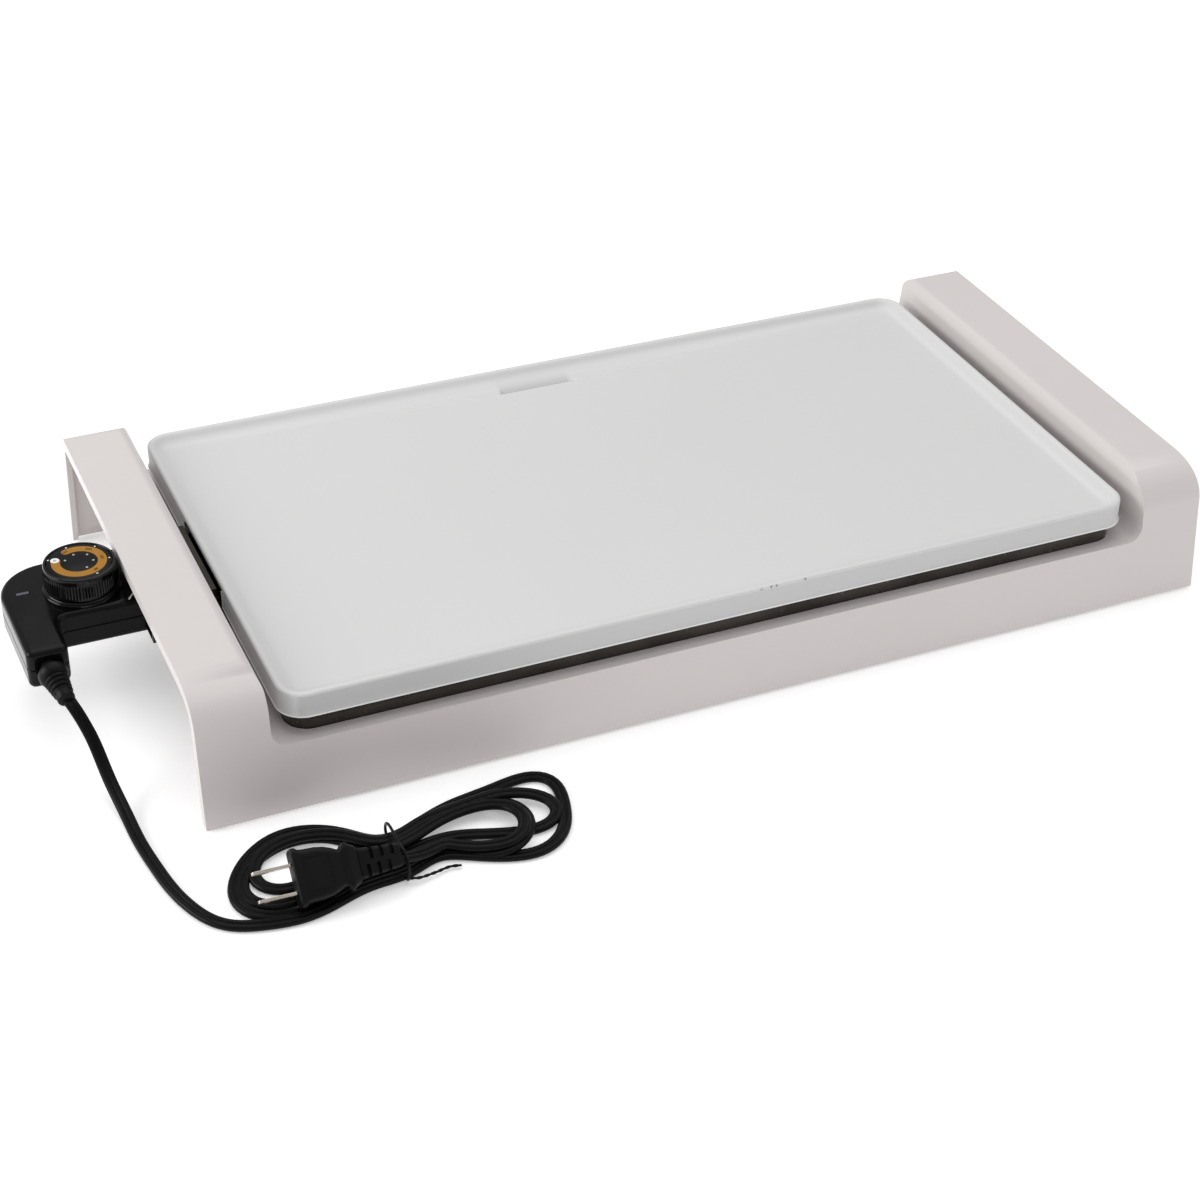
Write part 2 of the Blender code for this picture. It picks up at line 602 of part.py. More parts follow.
def make_case():
    outline = case_outline()
    upper = case_shell("controller_upper", outline, CASE_SPLIT + GAP, CASE_TOP, True)
    lower = case_shell("controller_lower", outline, CASE_LOW, CASE_SPLIT, False)
    for i, (x, y) in enumerate(case_screw_places()):
        lower_boss = rod((x, y, CASE_LOW + 0.001), (x, y, CASE_SPLIT - 0.0002), 0.0034, 16)
        upper_boss = rod((x, y, CASE_SPLIT + 0.0006), (x, y, CASE_TOP - 0.001), 0.0034, 16)
        combine(lower, cutter("lower_boss_%d" % i, lower_boss), "UNION")
        combine(upper, cutter("upper_boss_%d" % i, upper_boss), "UNION")
        bore = cutter("case_bore_%d" % i, rod((x, y, 0.030), (x, y, CASE_TOP - 0.0030), 0.0016, 12))
        sink = cutter("case_sink_%d" % i, rod((x, y, 0.030), (x, y, CASE_LOW + 0.0022), 0.0029, 16))
        combine(lower, bore)
        combine(lower, sink)
        combine(upper, bore)
        make_screw("controller_screw_%d" % (i + 1), x, y, CASE_TOP - 0.0042, CASE_LOW + 0.0019, -1,
                   0.0013, 0.0025)
    mouth = cutter("receptacle_mouth", box(ARM_END_X - 0.004, ARM_END_X + 0.004, PLUG_Y - 0.0178,
                                           PLUG_Y + 0.0178, 0.0375, 0.0503))
    boot_hole = cutter("boot_hole", rod(BOOT_START + Vector((0, 0.006, 0)),
                                        BOOT_START - Vector((0, 0.006, 0)), 0.0058, 20))
    for half in (upper, lower):
        combine(half, mouth)
        combine(half, boot_hole)
    combine(upper, cutter("shaft_hole", rod((KNOB_X, KNOB_Y, 0.050), (KNOB_X, KNOB_Y, 0.060), 0.0036, 20)))
    combine(upper, cutter("lens_window", box(-0.2945, -0.2875, 0.0077, 0.0103, 0.050, 0.060)))
    return upper, lower


def make_receptacle():
    """The heat-proof block that takes the pins, its two contacts and the probe."""
    block = finish("receptacle_block", box(-0.2115, -0.1890, PLUG_Y - 0.0175, PLUG_Y + 0.0175,
                                           0.0378, 0.0500), BLACK, smooth=False)
    for i, side in enumerate((-1, 1), 1):
        y = PLUG_Y + side * PIN_PITCH / 2
        combine(block, cutter("pin_bore_%d" % i, rod((-0.22, y, PLUG_Z), (-0.18, y, PLUG_Z), 0.0036, 20)))
        contact = finish("receptacle_contact_%d" % i, rod((-0.2090, y, PLUG_Z), (-0.1960, y, PLUG_Z),
                                                          0.0033, 20), BRASS)
        combine(contact, cutter("contact_bore_%d" % i, rod((-0.22, y, PLUG_Z), (-0.19, y, PLUG_Z), 0.0026)))
    combine(block, cutter("probe_bore", rod((-0.22, PLUG_Y, PLUG_Z), (-0.18, PLUG_Y, PLUG_Z), 0.0025)))
    probe = [(0, 0.0655), (0.0012, 0.0652), (0.0021, 0.0640), (0.0021, 0.0), (0, 0.0)]
    place = Matrix.Translation((-0.2155, PLUG_Y, PLUG_Z)) @ Matrix.Rotation(math.pi / 2, 4, "Y")
    turned("thermostat_probe", probe, STEEL, place, 16)


def make_thermostat():
    """The frame under the knob, its bimetal blade, its switch blade and the pilot lamp."""
    frame_x = (KNOB_X - 0.011, KNOB_X + 0.011)
    outline = [(KNOB_Y - 0.0090, 0.0363), (KNOB_Y + 0.0090, 0.0363), (KNOB_Y + 0.0090, 0.0440),
               (KNOB_Y + 0.0075, 0.0440), (KNOB_Y + 0.0075, 0.0378), (KNOB_Y - 0.0075, 0.0378),
               (KNOB_Y - 0.0075, 0.0440), (KNOB_Y - 0.0090, 0.0440)]
    finish("thermostat_frame", prism(outline, *frame_x, "X"), STEEL, smooth=False)
    finish("switch_blade", box(KNOB_X - 0.010, -0.2240, 0.0015, 0.0065, 0.0392, 0.0396), BRASS, False)
    finish("bimetal_blade", box(KNOB_X - 0.008, -0.2165, 0.0068, 0.0102, 0.0406, 0.0412), NICKEL, False)
    stack = finish("blade_stack", box(-0.2490, -0.2440, -0.0005, 0.0122, 0.0363, 0.0428), STEATITE, False)
    combine(stack, cutter("stack_slot_1", box(-0.26, -0.23, 0.0012, 0.0068, 0.0389, 0.0399)))
    combine(stack, cutter("stack_slot_2", box(-0.26, -0.23, 0.0065, 0.0105, 0.0403, 0.0415)))
    finish("pilot_lamp", rod((-0.2950, 0.0090, 0.0478), (-0.2870, 0.0090, 0.0478), 0.0021, 12), LENS)
    lens = finish("pilot_lens", box(-0.2942, -0.2878, 0.0080, 0.0100, 0.0510, CASE_TOP + 0.0004), LENS)
    bevel(lens, 0.0004, 2)


def make_knob():
    collar = [(0, 0.0022), (0.0180, 0.0022), (0.0187, 0.0016), (0.0187, GAP), (0, GAP)]
    ring = turned("knob_collar", collar, BLACK, Matrix.Translation((KNOB_X, KNOB_Y, CASE_TOP)), 48)
    combine(ring, cutter("collar_bore", rod((KNOB_X, KNOB_Y, 0.050), (KNOB_X, KNOB_Y, 0.060), 0.0042, 20)))
    low = CASE_TOP + 0.0026
    tall = KNOB_TOP - low
    outline = [(0, tall - 0.0010), (0.0149, tall - 0.0010), (0.0153, tall), (KNOB_R - 0.0006, tall),
               (KNOB_R, tall - 0.0005), (KNOB_R, tall - 0.0022), (KNOB_R - 0.0008, tall - 0.0030),
               (KNOB_R - 0.0004, 0.0012), (KNOB_R, 0.0), (0, 0.0)]
    knob = turned("knob", outline, BLACK, Matrix.Translation((KNOB_X, KNOB_Y, low)), 48)
    combine(knob, cutter("knob_bore", rod((KNOB_X, KNOB_Y, 0.050), (KNOB_X, KNOB_Y, 0.0662), 0.0033, 20)))
    place = Matrix.Translation((KNOB_X, KNOB_Y, KNOB_TOP - 0.0007))
    turned("knob_dial", [(0, 0.0005), (0.0143, 0.0005), (0.0145, 0.0003), (0.0145, 0.0), (0, 0.0)],
           DIAL, place, 40)
    finish("knob_shaft", rod((KNOB_X, KNOB_Y, 0.0445), (KNOB_X, KNOB_Y, 0.0659), 0.0030, 16), STEEL)


def boot_axis():
    return (BOOT_END - BOOT_START).normalized()


def make_strain_relief():
    """The moulded boot at the front of the grip, ribbed and tapering to the cord."""
    axis = boot_axis()
    length = (BOOT_END - BOOT_START).length
    turn = (-axis).to_track_quat("Z", "Y").to_matrix().to_4x4()
    place = Matrix.Translation(BOOT_START) @ turn
    profile = [(0, 0.0056), (0.0060, 0.0056), (0.0060, 0.0043), (0.0046, 0.0041), (0.0046, -0.0022),
               (0.0070, -0.0024), (0.0072, -0.0062)]
    for i in range(3):
        z = -0.0078 - 0.0042 * i
        r = 0.0060 - 0.0006 * i
        profile += [(r - 0.0009, z), (r - 0.0009, z - 0.0012), (r, z - 0.0014), (r, z - 0.0028)]
    profile += [(0.0046, -length + 0.0006), (0.0040, -length), (0, -length)]
    turned("strain_relief", profile, RUBBER, place, 24)
    clamp = box(-0.2968, -0.2838, -0.0278, -0.0250, 0.0363, 0.0400)
    finish("cord_clamp", clamp, BLACK, smooth=False)


# ---- cord, hank, tie, plug ----
def lead_route():
    """From the boot down to the surface and forwards to the hank."""
    start = BOOT_END + boot_axis() * GAP
    return [start, start + boot_axis() * 0.006, Vector((-0.2827, -0.0762, 0.0300)),
            Vector((-0.2797, -0.0830, 0.0195)), Vector((-0.2778, -0.0925, 0.0098)),
            Vector((-0.2763, -0.1040, 0.0046)), Vector((-0.2750, -0.1180, 0.0032)),
            Vector((-0.2737, -0.1340, 0.0031)), Vector((-0.2712, -0.1520, 0.0031)),
            Vector((-0.2688, -0.1690, 0.0031)), Vector((-0.2650, -0.1830, 0.0031)),
            Vector((-0.2590, -0.1950, 0.0031)), Vector((-0.2490, -0.2075, 0.0031)),
            Vector((-0.2350, -0.2175, 0.0034))]


def hank_outline():
    """Plan of the tied hank: round ends, narrower where the tie pulls it in, anticlockwise."""
    a, b = HANK_ENDS
    along = (b - a).normalized()
    across = Vector((-along.y, along.x))
    length = (b - a).length
    right, left = [], []
    for i in range(13):
        s = length * i / 12
        half = HANK_HALF_W - HANK_PINCH * math.exp(-((s - TIE_AT) / 0.026) ** 2)
        right.append(a + along * s - across * half)
        left.append(a + along * s + across * half)
    heading = math.degrees(math.atan2(along.y, along.x))
    end = arc(b.x, b.y, HANK_HALF_W, heading - 90, heading + 90, 12)
    start = arc(a.x, a.y, HANK_HALF_W, heading + 90, heading + 270, 12)
    points = [tuple(p) for p in right] + end[1:-1] + [tuple(p) for p in reversed(left)] + start[1:-1]
    return points


def plug_place():
    return (Matrix.Translation(PLUG_ROOT) @ Matrix.Rotation(PLUG_TURN, 4, "Z")
            @ Matrix.Rotation(PLUG_ROLL, 4, "X"))


def plug_section(x, half_w, half_t):
    """One section of the plug's body at a distance along its own axis."""
    return [(x, y, z) for y, z in rounded_rect(0.0, 0.0, half_w, half_t, min(half_w, half_t) * 0.45, 3)]


def plug_loft(name, sections, finish_material):
    """A body lofted through sections of the plug, in the plug's own frame."""
    bm = bmesh.new()
    rings = [[bm.verts.new(p) for p in section] for section in sections]
    bm.faces.new(rings[0])
    bm.faces.new(rings[-1])
    count = len(rings[0])
    for a, b in zip(rings, rings[1:]):
        for i in range(count):
            j = (i + 1) % count
            bm.faces.new((a[i], a[j], b[j], b[i]))
    mesh = mesh_of(bm)
    mesh.transform(plug_place())
    return finish(name, mesh, finish_material)


def make_plug():
    body = [plug_section(0.0, 0.0125, 0.0058), plug_section(0.0080, 0.0128, 0.0062),
            plug_section(0.0160, 0.0116, 0.0060), plug_section(0.0220, 0.0085, 0.0052),
            plug_section(0.0255, 0.0078, 0.0048), plug_section(0.0275, 0.0098, 0.0055),
            plug_section(0.0290, 0.0098, 0.0055)]
    plug_loft("plug_body", body, BLACK)
    grip = [plug_section(0.0293, 0.0068, 0.0040), plug_section(0.0450, 0.0054, 0.0034),
            plug_section(0.0490, 0.0050, 0.0032)]
    relief = plug_loft("plug_strain_relief", grip, RUBBER)
    for i in range(3):
        for side in (-1, 1):
            x = 0.0325 + 0.0046 * i + (0.0022 if side > 0 else 0.0)
            slot = box(x, x + 0.0014, side * 0.0012, side * 0.0200, -0.02, 0.02)
            slot.transform(plug_place())
            combine(relief, cutter("relief_slot_%d_%d" % (i, side), slot))
    for i, side in enumerate((-1, 1), 1):
        y = side * 0.00635
        blade = box(-0.0178, -GAP, y - 0.00075, y + 0.00075, -0.0031, 0.0031)
        blade.transform(plug_place())
        piece = finish("plug_blade_%d" % i, blade, NICKEL, smooth=False)
        hole = rod((-0.0138, y - 0.01, 0), (-0.0138, y + 0.01, 0), 0.0016, 16)
        hole.transform(plug_place())
        combine(piece, cutter("blade_hole_%d" % i, hole))


def make_cord():
    tube("cord_lead", smooth_route(lead_route(), 0.0052), CORD_R, CORD_PVC, 2)
    hank = finish("cord_hank", prism(hank_outline(), *HANK_Z), CORD_PVC)
    pocket = box(-0.0400, 0.0296, -0.0134, 0.0134, -0.0067, 0.0300)
    pocket.transform(plug_place())
    combine(hank, cutter("plug_pocket", pocket))
    pocket = box(0.0290, 0.0520, -0.0073, 0.0073, -0.0044, 0.0300)
    pocket.transform(plug_place())
    combine(hank, cutter("relief_pocket", pocket))
    a, b = HANK_ENDS
    along = (b - a).normalized()
    centre = a + along * TIE_AT
    half = HANK_HALF_W - HANK_PINCH + 0.0022
    ring = rounded_rect(0.0, (HANK_Z[0] + HANK_Z[1]) / 2, half, (HANK_Z[1] - HANK_Z[0]) / 2 + 0.0010,
                        0.0030, 4)
    route = [(centre.x - along.y * u, centre.y + along.x * u, v) for u, v in ring]
    tie = tube("hank_tie", route, 0.0006, CORD_PVC, 2)
    tie.data.splines[0].use_cyclic_u = True
    tie.data.use_fill_caps = False


def build():
    open_guard(make_guard())
    make_feet()
    make_pan()
    make_pan_hardware()
    make_heater()
    make_terminals()
    make_hood()
    make_plate()
    make_case()
    make_receptacle()
    make_thermostat()
    make_knob()
    make_strain_relief()
    make_plug()
    make_cord()


build()
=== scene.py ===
import math

import bmesh
import bpy
from mathutils import Matrix, Vector


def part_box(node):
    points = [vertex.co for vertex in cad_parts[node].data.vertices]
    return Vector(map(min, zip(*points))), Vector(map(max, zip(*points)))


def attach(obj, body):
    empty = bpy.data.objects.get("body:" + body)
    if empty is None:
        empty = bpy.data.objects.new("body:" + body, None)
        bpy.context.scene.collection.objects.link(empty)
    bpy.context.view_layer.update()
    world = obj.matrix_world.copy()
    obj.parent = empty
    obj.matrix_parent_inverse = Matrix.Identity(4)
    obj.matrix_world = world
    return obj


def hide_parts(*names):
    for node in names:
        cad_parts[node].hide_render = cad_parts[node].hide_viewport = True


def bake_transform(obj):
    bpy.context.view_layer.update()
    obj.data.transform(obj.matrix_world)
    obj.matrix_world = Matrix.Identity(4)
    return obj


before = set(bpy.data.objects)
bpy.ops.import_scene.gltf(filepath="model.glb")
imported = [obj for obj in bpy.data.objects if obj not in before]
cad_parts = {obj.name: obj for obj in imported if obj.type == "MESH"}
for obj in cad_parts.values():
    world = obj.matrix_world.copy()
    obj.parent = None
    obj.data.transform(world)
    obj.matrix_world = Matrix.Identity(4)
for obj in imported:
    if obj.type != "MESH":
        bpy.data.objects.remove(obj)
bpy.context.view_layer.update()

SCENE = bpy.context.scene
SCENE.view_settings.view_transform = "Standard"

# ---- dimensions of the frame that the visible shapes follow, metres ----
GUARD_LOW_CORNER, GUARD_HIGH_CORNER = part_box("guard_shell")
GUARD_X = (GUARD_LOW_CORNER[0] + GUARD_HIGH_CORNER[0]) / 2
GUARD_HALF_W = (GUARD_HIGH_CORNER[0] - GUARD_LOW_CORNER[0]) / 2
GUARD_HALF_D = GUARD_HIGH_CORNER[1]
GUARD_LOW = 0.0015
GUARD_TOP = GUARD_HIGH_CORNER[2]
WALL = 0.0028                  # thickness of the guard's walls
BRIDGE_W = 0.035               # width of each end bridge
DECK_TOP = 0.0365              # top of the low front and rear walls
MOUTH_INSET = 0.0062           # rim left round the open outer end of each bridge
POST_X, POST_Y = 0.205, 0.1246  # the four foot posts, from the guard's middle
SCREW_Y = 0.1182               # bores of the pan screws in those posts

PLATE_HALF_W = 0.230
PLATE_HALF_D = 0.128
PLATE_CORNER = 0.0135
HOOD_NOTCH_Y = (-0.0275, 0.0405)

CASE_LOW = 0.0340
CASE_SPLIT = 0.0443
CASE_TOP = 0.0545
KNOB = Vector((-0.2627, 0.0045, 0.0))
KNOB_R = 0.0180
KNOB_TOP = 0.0695
BOOT_START = Vector((-0.2903, -0.0433, 0.0443))
BOOT_END = Vector((-0.2876, -0.0650, 0.0400))
PLUG_ROOT = Vector((-0.2204, -0.1990, 0.0150))
PLUG_PLACE = (Matrix.Translation(PLUG_ROOT) @ Matrix.Rotation(math.radians(-2), 4, "Z")
              @ Matrix.Rotation(math.radians(44), 4, "X"))

CORD_WIDTH = 0.0064
CORD_THICK = 0.0033
CORD_STEP = 0.003

# The cord's route in millimetres: down from the boot, forwards on the table, then round and round the
# hank, whose turns pass each other in three layers, and last into the back of the plug.
ROUTE_MM = (
    (-288.0, -60.0, 40.5), (-285.5, -66.5, 37.0), (-281.8, -74.0, 29.0), (-279.5, -80.3, 21.0),
    (-278.0, -90.5, 12.5), (-276.3, -99.5, 6.8), (-275.0, -110.0, 3.5), (-274.3, -122.0, 1.8),
    (-273.5, -136.0, 1.8), (-271.5, -151.5, 1.8), (-269.2, -166.6, 1.8), (-265.5, -180.3, 1.8),
    (-260.0, -192.5, 1.8), (-251.0, -203.5, 1.8), (-239.1, -206.6, 1.8), (-229.4, -209.5, 1.8),
    (-217.7, -209.6, 1.8), (-204.9, -206.6, 1.8), (-189.0, -201.3, 1.8), (-176.8, -199.8, 1.8),
    (-162.8, -198.9, 1.8), (-152.3, -192.1, 1.8), (-137.7, -198.5, 1.8), (-123.0, -204.5, 1.8),
    (-110.6, -207.8, 1.8), (-99.7, -205.1, 1.8), (-90.6, -197.2, 1.8), (-85.5, -186.5, 1.8),
    (-82.2, -172.9, 1.8), (-81.7, -163.1, 1.8), (-86.3, -156.6, 1.8), (-95.3, -155.3, 1.8),
    (-106.6, -156.8, 1.8), (-119.3, -159.1, 1.8), (-135.4, -161.9, 1.8), (-162.5, -172.1, 1.8),
    (-176.5, -172.1, 1.8), (-181.0, -164.8, 1.8), (-192.2, -157.7, 1.8), (-203.0, -152.9, 1.8),
    (-212.9, -152.5, 1.8), (-224.2, -156.9, 1.8), (-234.5, -165.9, 1.8), (-241.4, -176.8, 1.8),
    (-244.1, -188.4, 1.8), (-241.4, -196.6, 1.8), (-233.9, -203.6, 1.8), (-222.9, -205.9, 1.8),
    (-209.5, -204.2, 1.8), (-193.1, -195.7, 1.8), (-175.2, -192.7, 1.8), (-161.3, -191.6, 1.8),
    (-146.0, -190.2, 1.8), (-134.3, -198.5, 2.0), (-123.8, -203.5, 3.8), (-114.8, -202.6, 5.3),
    (-108.0, -195.6, 5.3), (-104.7, -187.0, 5.3), (-105.9, -177.3, 4.6), (-112.6, -169.1, 3.2),
    (-121.5, -165.0, 2.0), (-135.8, -166.0, 1.8), (-162.1, -178.7, 1.8), (-178.1, -179.0, 1.8),
    (-186.3, -166.9, 1.8), (-197.6, -160.7, 1.8), (-210.2, -158.2, 1.8), (-222.4, -162.1, 1.8),
    (-232.8, -169.2, 1.8), (-238.7, -178.8, 1.8), (-239.1, -188.2, 1.8), (-233.6, -195.5, 1.8),
    (-224.8, -198.1, 1.8), (-213.6, -196.7, 1.8), (-195.5, -188.9, 1.8), (-177.6, -186.0, 1.8),
    (-161.7, -185.0, 1.8), (-143.0, -182.1, 1.8), (-129.5, -185.8, 1.8), (-117.1, -189.4, 1.8),
    (-104.1, -191.7, 1.8), (-94.4, -190.7, 2.1), (-88.6, -185.9, 3.0), (-88.9, -179.0, 4.2),
    (-95.0, -172.3, 4.5), (-105.0, -167.8, 5.3), (-117.1, -165.9, 5.3), (-134.4, -168.5, 5.3),
    (-150.0, -170.3, 5.3), (-163.2, -176.7, 5.3), (-178.2, -176.6, 5.3), (-184.1, -167.7, 5.3),
    (-195.1, -163.6, 5.3), (-206.2, -160.0, 4.9), (-217.5, -160.7, 4.0), (-226.5, -164.8, 2.8),
    (-231.7, -172.6, 2.0), (-231.5, -181.2, 1.8), (-226.3, -187.4, 1.8), (-217.9, -190.2, 2.8),
    (-206.7, -189.4, 4.5), (-194.5, -188.3, 5.3), (-177.7, -184.6, 5.3), (-161.9, -182.0, 5.3),
    (-149.9, -176.3, 5.3), (-135.7, -172.0, 5.3), (-123.0, -172.0, 6.1), (-113.0, -176.1, 7.3),
    (-108.2, -185.1, 8.4), (-109.1, -194.9, 8.6), (-114.9, -201.3, 7.7), (-123.9, -200.9, 6.1),
    (-135.6, -195.9, 5.3), (-146.8, -192.6, 5.3), (-143.4, -189.1, 5.7), (-155.1, -194.3, 6.9),
    (-164.9, -198.5, 9.5), (-172.4, -200.7, 13.8), (-180.4, -200.4, 15.0),
)


# ---- camera, solved from the photo's straight edges ----
CAMERA_TURNS = (-24.172, 34.217, 1.2604)      # azimuth, elevation and roll in degrees
CAMERA_TARGET = Vector((0.00043, -0.03009, 0.0015))
CAMERA_DISTANCE = 1.25253
CAMERA_LENS = 70.898                          # millimetres, on a 36 mm sensor


def make_camera():
    azimuth, elevation, roll = (math.radians(turn) for turn in CAMERA_TURNS)
    back = Vector((math.sin(azimuth) * math.cos(elevation), -math.cos(azimuth) * math.cos(elevation),
                   math.sin(elevation)))
    flat_right = Vector((math.cos(azimuth), math.sin(azimuth), 0.0))
    flat_up = back.cross(flat_right)
    right = flat_right * math.cos(roll) + flat_up * math.sin(roll)
    up = flat_up * math.cos(roll) - flat_right * math.sin(roll)
    data = bpy.data.cameras.new("camera")
    data.lens = CAMERA_LENS
    data.sensor_width = 36.0
    data.clip_start = 0.01
    camera = bpy.data.objects.new("camera", data)
    SCENE.collection.objects.link(camera)
    pose = Matrix((right, up, back)).transposed().to_4x4()
    pose.translation = CAMERA_TARGET + back * CAMERA_DISTANCE
    camera.matrix_world = pose
    SCENE.camera = camera


# ---- materials ----
class Nodes:
    """Short calls for one material's node tree."""

    def __init__(self, name):
        self.material = bpy.data.materials.new(name)
        self.material.use_nodes = True
        self.tree = self.material.node_tree
        self.shader = self.tree.nodes["Principled BSDF"]
        self.place = self.add("TexCoord").outputs["Object"]

    def add(self, kind, **values):
        node = self.tree.nodes.new("ShaderNode" + kind)
        for key, value in values.items():
            setattr(node, key, value)
        return node

    def feed(self, socket, value):
        if isinstance(value, bpy.types.NodeSocket):
            self.tree.links.new(value, socket)
        elif value is not None:
            socket.default_value = value

    def noise(self, scale, detail=3.0, rough=0.5, stretch=None):
        node = self.add("TexNoise")
        node.inputs["Scale"].default_value = scale
        node.inputs["Detail"].default_value = detail
        node.inputs["Roughness"].default_value = rough
        place = self.place
        if stretch:
            scaler = self.add("Mapping")
            scaler.inputs["Scale"].default_value = stretch
            self.feed(scaler.inputs["Vector"], place)
            place = scaler.outputs["Vector"]
        self.feed(node.inputs["Vector"], place)
        return node.outputs["Fac"]

    def remap(self, value, low, high, to_low, to_high, smooth=False):
        node = self.add("MapRange", interpolation_type="SMOOTHSTEP" if smooth else "LINEAR")
        for socket, number in zip(node.inputs[:5], (value, low, high, to_low, to_high)):
            self.feed(socket, number)
        return node.outputs["Result"]

    def mix(self, factor, colour_a, colour_b):
        node = self.add("Mix", data_type="RGBA")
        self.feed(node.inputs[0], factor)
        self.feed(node.inputs[6], (*colour_a, 1.0) if isinstance(colour_a, tuple) else colour_a)
        self.feed(node.inputs[7], (*colour_b, 1.0) if isinstance(colour_b, tuple) else colour_b)
        return node.outputs[2]

    def maths(self, operation, a, b=0.0):
        node = self.add("Math", operation=operation)
        self.feed(node.inputs[0], a)
        self.feed(node.inputs[1], b)
        return node.outputs[0]

    def bump(self, height, strength, distance, under=None):
        node = self.add("Bump")
        node.inputs["Strength"].default_value = strength
        node.inputs["Distance"].default_value = distance
        self.feed(node.inputs["Height"], height)
        self.feed(node.inputs["Normal"], under)
        return node.outputs["Normal"]

    def axis(self, name):
        node = self.add("SeparateXYZ")
        self.feed(node.inputs[0], self.place)
        return node.outputs[name]

    def plain(self, **values):
        for key, value in values.items():
            self.shader.inputs[key.replace("_", " ")].default_value = value


def surface(name, colour, other, roughness, spread=0.05, mottle=14.0, grain=900.0, grain_depth=0.00003,
            grain_strength=0.2, wave=0.0, metallic=0.0, specular=0.5, coat=0.0, stretch=None):
    """A finish with slow colour drift, uneven gloss, fine grain and a faint large-scale waviness."""
    nodes = Nodes(name)
    drift = nodes.noise(mottle, 4.0, 0.55)
    nodes.feed(nodes.shader.inputs["Base Color"],
               nodes.mix(nodes.remap(drift, 0.35, 0.65, 0.0, 1.0), colour, other))
    gloss = nodes.noise(mottle * 3.3, 5.0, 0.6, stretch)
    nodes.feed(nodes.shader.inputs["Roughness"],
               nodes.remap(gloss, 0.3, 0.7, roughness - spread, roughness + spread))
    normal = None
    if wave:
        normal = nodes.bump(nodes.noise(mottle * 1.7, 2.0), 0.35, wave)
    fine = nodes.noise(grain, 3.0, 0.6, stretch)
    nodes.feed(nodes.shader.inputs["Normal"], nodes.bump(fine, grain_strength, grain_depth, normal))
    nodes.plain(Metallic=metallic, Specular_IOR_Level=specular, Coat_Weight=coat, Coat_Roughness=0.08)
    return nodes


CHIPS = ((0.0437, 0.0008), (0.0492, 0.0009), (0.0518, 0.0006), (0.0678, 0.0006))   # x and half width


def plate_coat():
    """White ceramic coat, with chips on the front lip and some of the photo's shading painted in."""
    nodes = surface("ceramic_coat", (0.655, 0.653, 0.651), (0.663, 0.661, 0.659), 0.33, 0.03, 4.0,
                    420.0, 0.00003, 0.10, 0.0, specular=0.5)
    base = nodes.shader.inputs["Base Color"].links[0].from_socket
    lip = nodes.remap(nodes.axis("Y"), -0.1270, -0.1277, 0.0, 1.0)
    lip = nodes.maths("MULTIPLY", lip, nodes.remap(nodes.axis("Z"), 0.0576, 0.0584, 0.0, 1.0))
    chips = 0.0
    for x, half in CHIPS:
        away = nodes.maths("ABSOLUTE", nodes.maths("SUBTRACT", nodes.axis("X"), x))
        chips = nodes.maths("MAXIMUM", nodes.remap(away, half * 1.4, half * 0.6, 0.0, 1.0), chips)
    ragged = nodes.remap(nodes.noise(900.0, 3.0, 0.7), 0.46, 0.52, 0.0, 0.9)
    chips = nodes.maths("MULTIPLY", nodes.maths("MULTIPLY", chips, ragged), lip)
    base = nodes.mix(chips, base, (0.10, 0.095, 0.090))
    # Painted shade darkens the grease well towards its front edge, with a painted shadow line along it.
    inside = nodes.maths("MULTIPLY", nodes.remap(nodes.axis("X"), -0.0010, 0.0010, 0.0, 1.0),
                         nodes.remap(nodes.axis("X"), 0.0440, 0.0405, 0.0, 1.0))
    well_painted_shade = nodes.maths("MULTIPLY", nodes.remap(nodes.axis("Y"), 0.1210, 0.1080, 0.0, 0.42, True),
                       nodes.remap(nodes.axis("Y"), 0.1071, 0.1073, 0.0, 1.0))
    crease_painted_shadow = nodes.maths("MULTIPLY", nodes.remap(nodes.axis("Y"), 0.1088, 0.1080, 0.0, 0.85),
                         nodes.remap(nodes.axis("Y"), 0.1068, 0.1070, 0.0, 1.0))
    upper = nodes.remap(nodes.axis("Z"), 0.0500, 0.0505, 0.0, 1.0)
    well_shade_mask = nodes.maths("MULTIPLY", inside, nodes.maths("MAXIMUM", well_painted_shade, crease_painted_shadow))
    well_shade_mask = nodes.maths("MULTIPLY", well_shade_mask, upper)
    base = nodes.mix(well_shade_mask, base, (0.20, 0.20, 0.195))
    # Painted shade makes the front skirt greyer below its lip, and a painted highlight lines its foot.
    outside = nodes.remap(nodes.axis("Y"), -0.1262, -0.1270, 0.0, 1.0)
    skirt_painted_shade = nodes.remap(nodes.axis("Z"), 0.0584, 0.0574, 0.0, 0.9, True)
    skirt_painted_shade = nodes.maths("MULTIPLY", outside, skirt_painted_shade)
    base = nodes.mix(skirt_painted_shade, base, (0.545, 0.546, 0.544))
    # Painted highlight: a light line along the skirt's foot.
    base = nodes.mix(nodes.remap(nodes.axis("Z"), 0.0472, 0.0468, 0.0, 1.0), base, (0.93, 0.93, 0.92))
    nodes.feed(nodes.shader.inputs["Base Color"], base)
    return nodes.material


def pan_enamel():
    """Dark enamelled steel, painted nearly black where the plate's skirt shades it."""
    nodes = surface("pan_enamel", (0.050, 0.044, 0.040), (0.085, 0.076, 0.070), 0.24, 0.07, 22.0, 500.0,
                    0.00003, 0.2, 0.00010, metallic=0.6, specular=0.3)
    base = nodes.shader.inputs["Base Color"].links[0].from_socket
    shade = nodes.remap(nodes.axis("Z"), 0.0410, 0.0450, 0.0, 0.93, True)
    nodes.feed(nodes.shader.inputs["Base Color"], nodes.mix(shade, base, (0.002, 0.002, 0.002)))
    return nodes.material


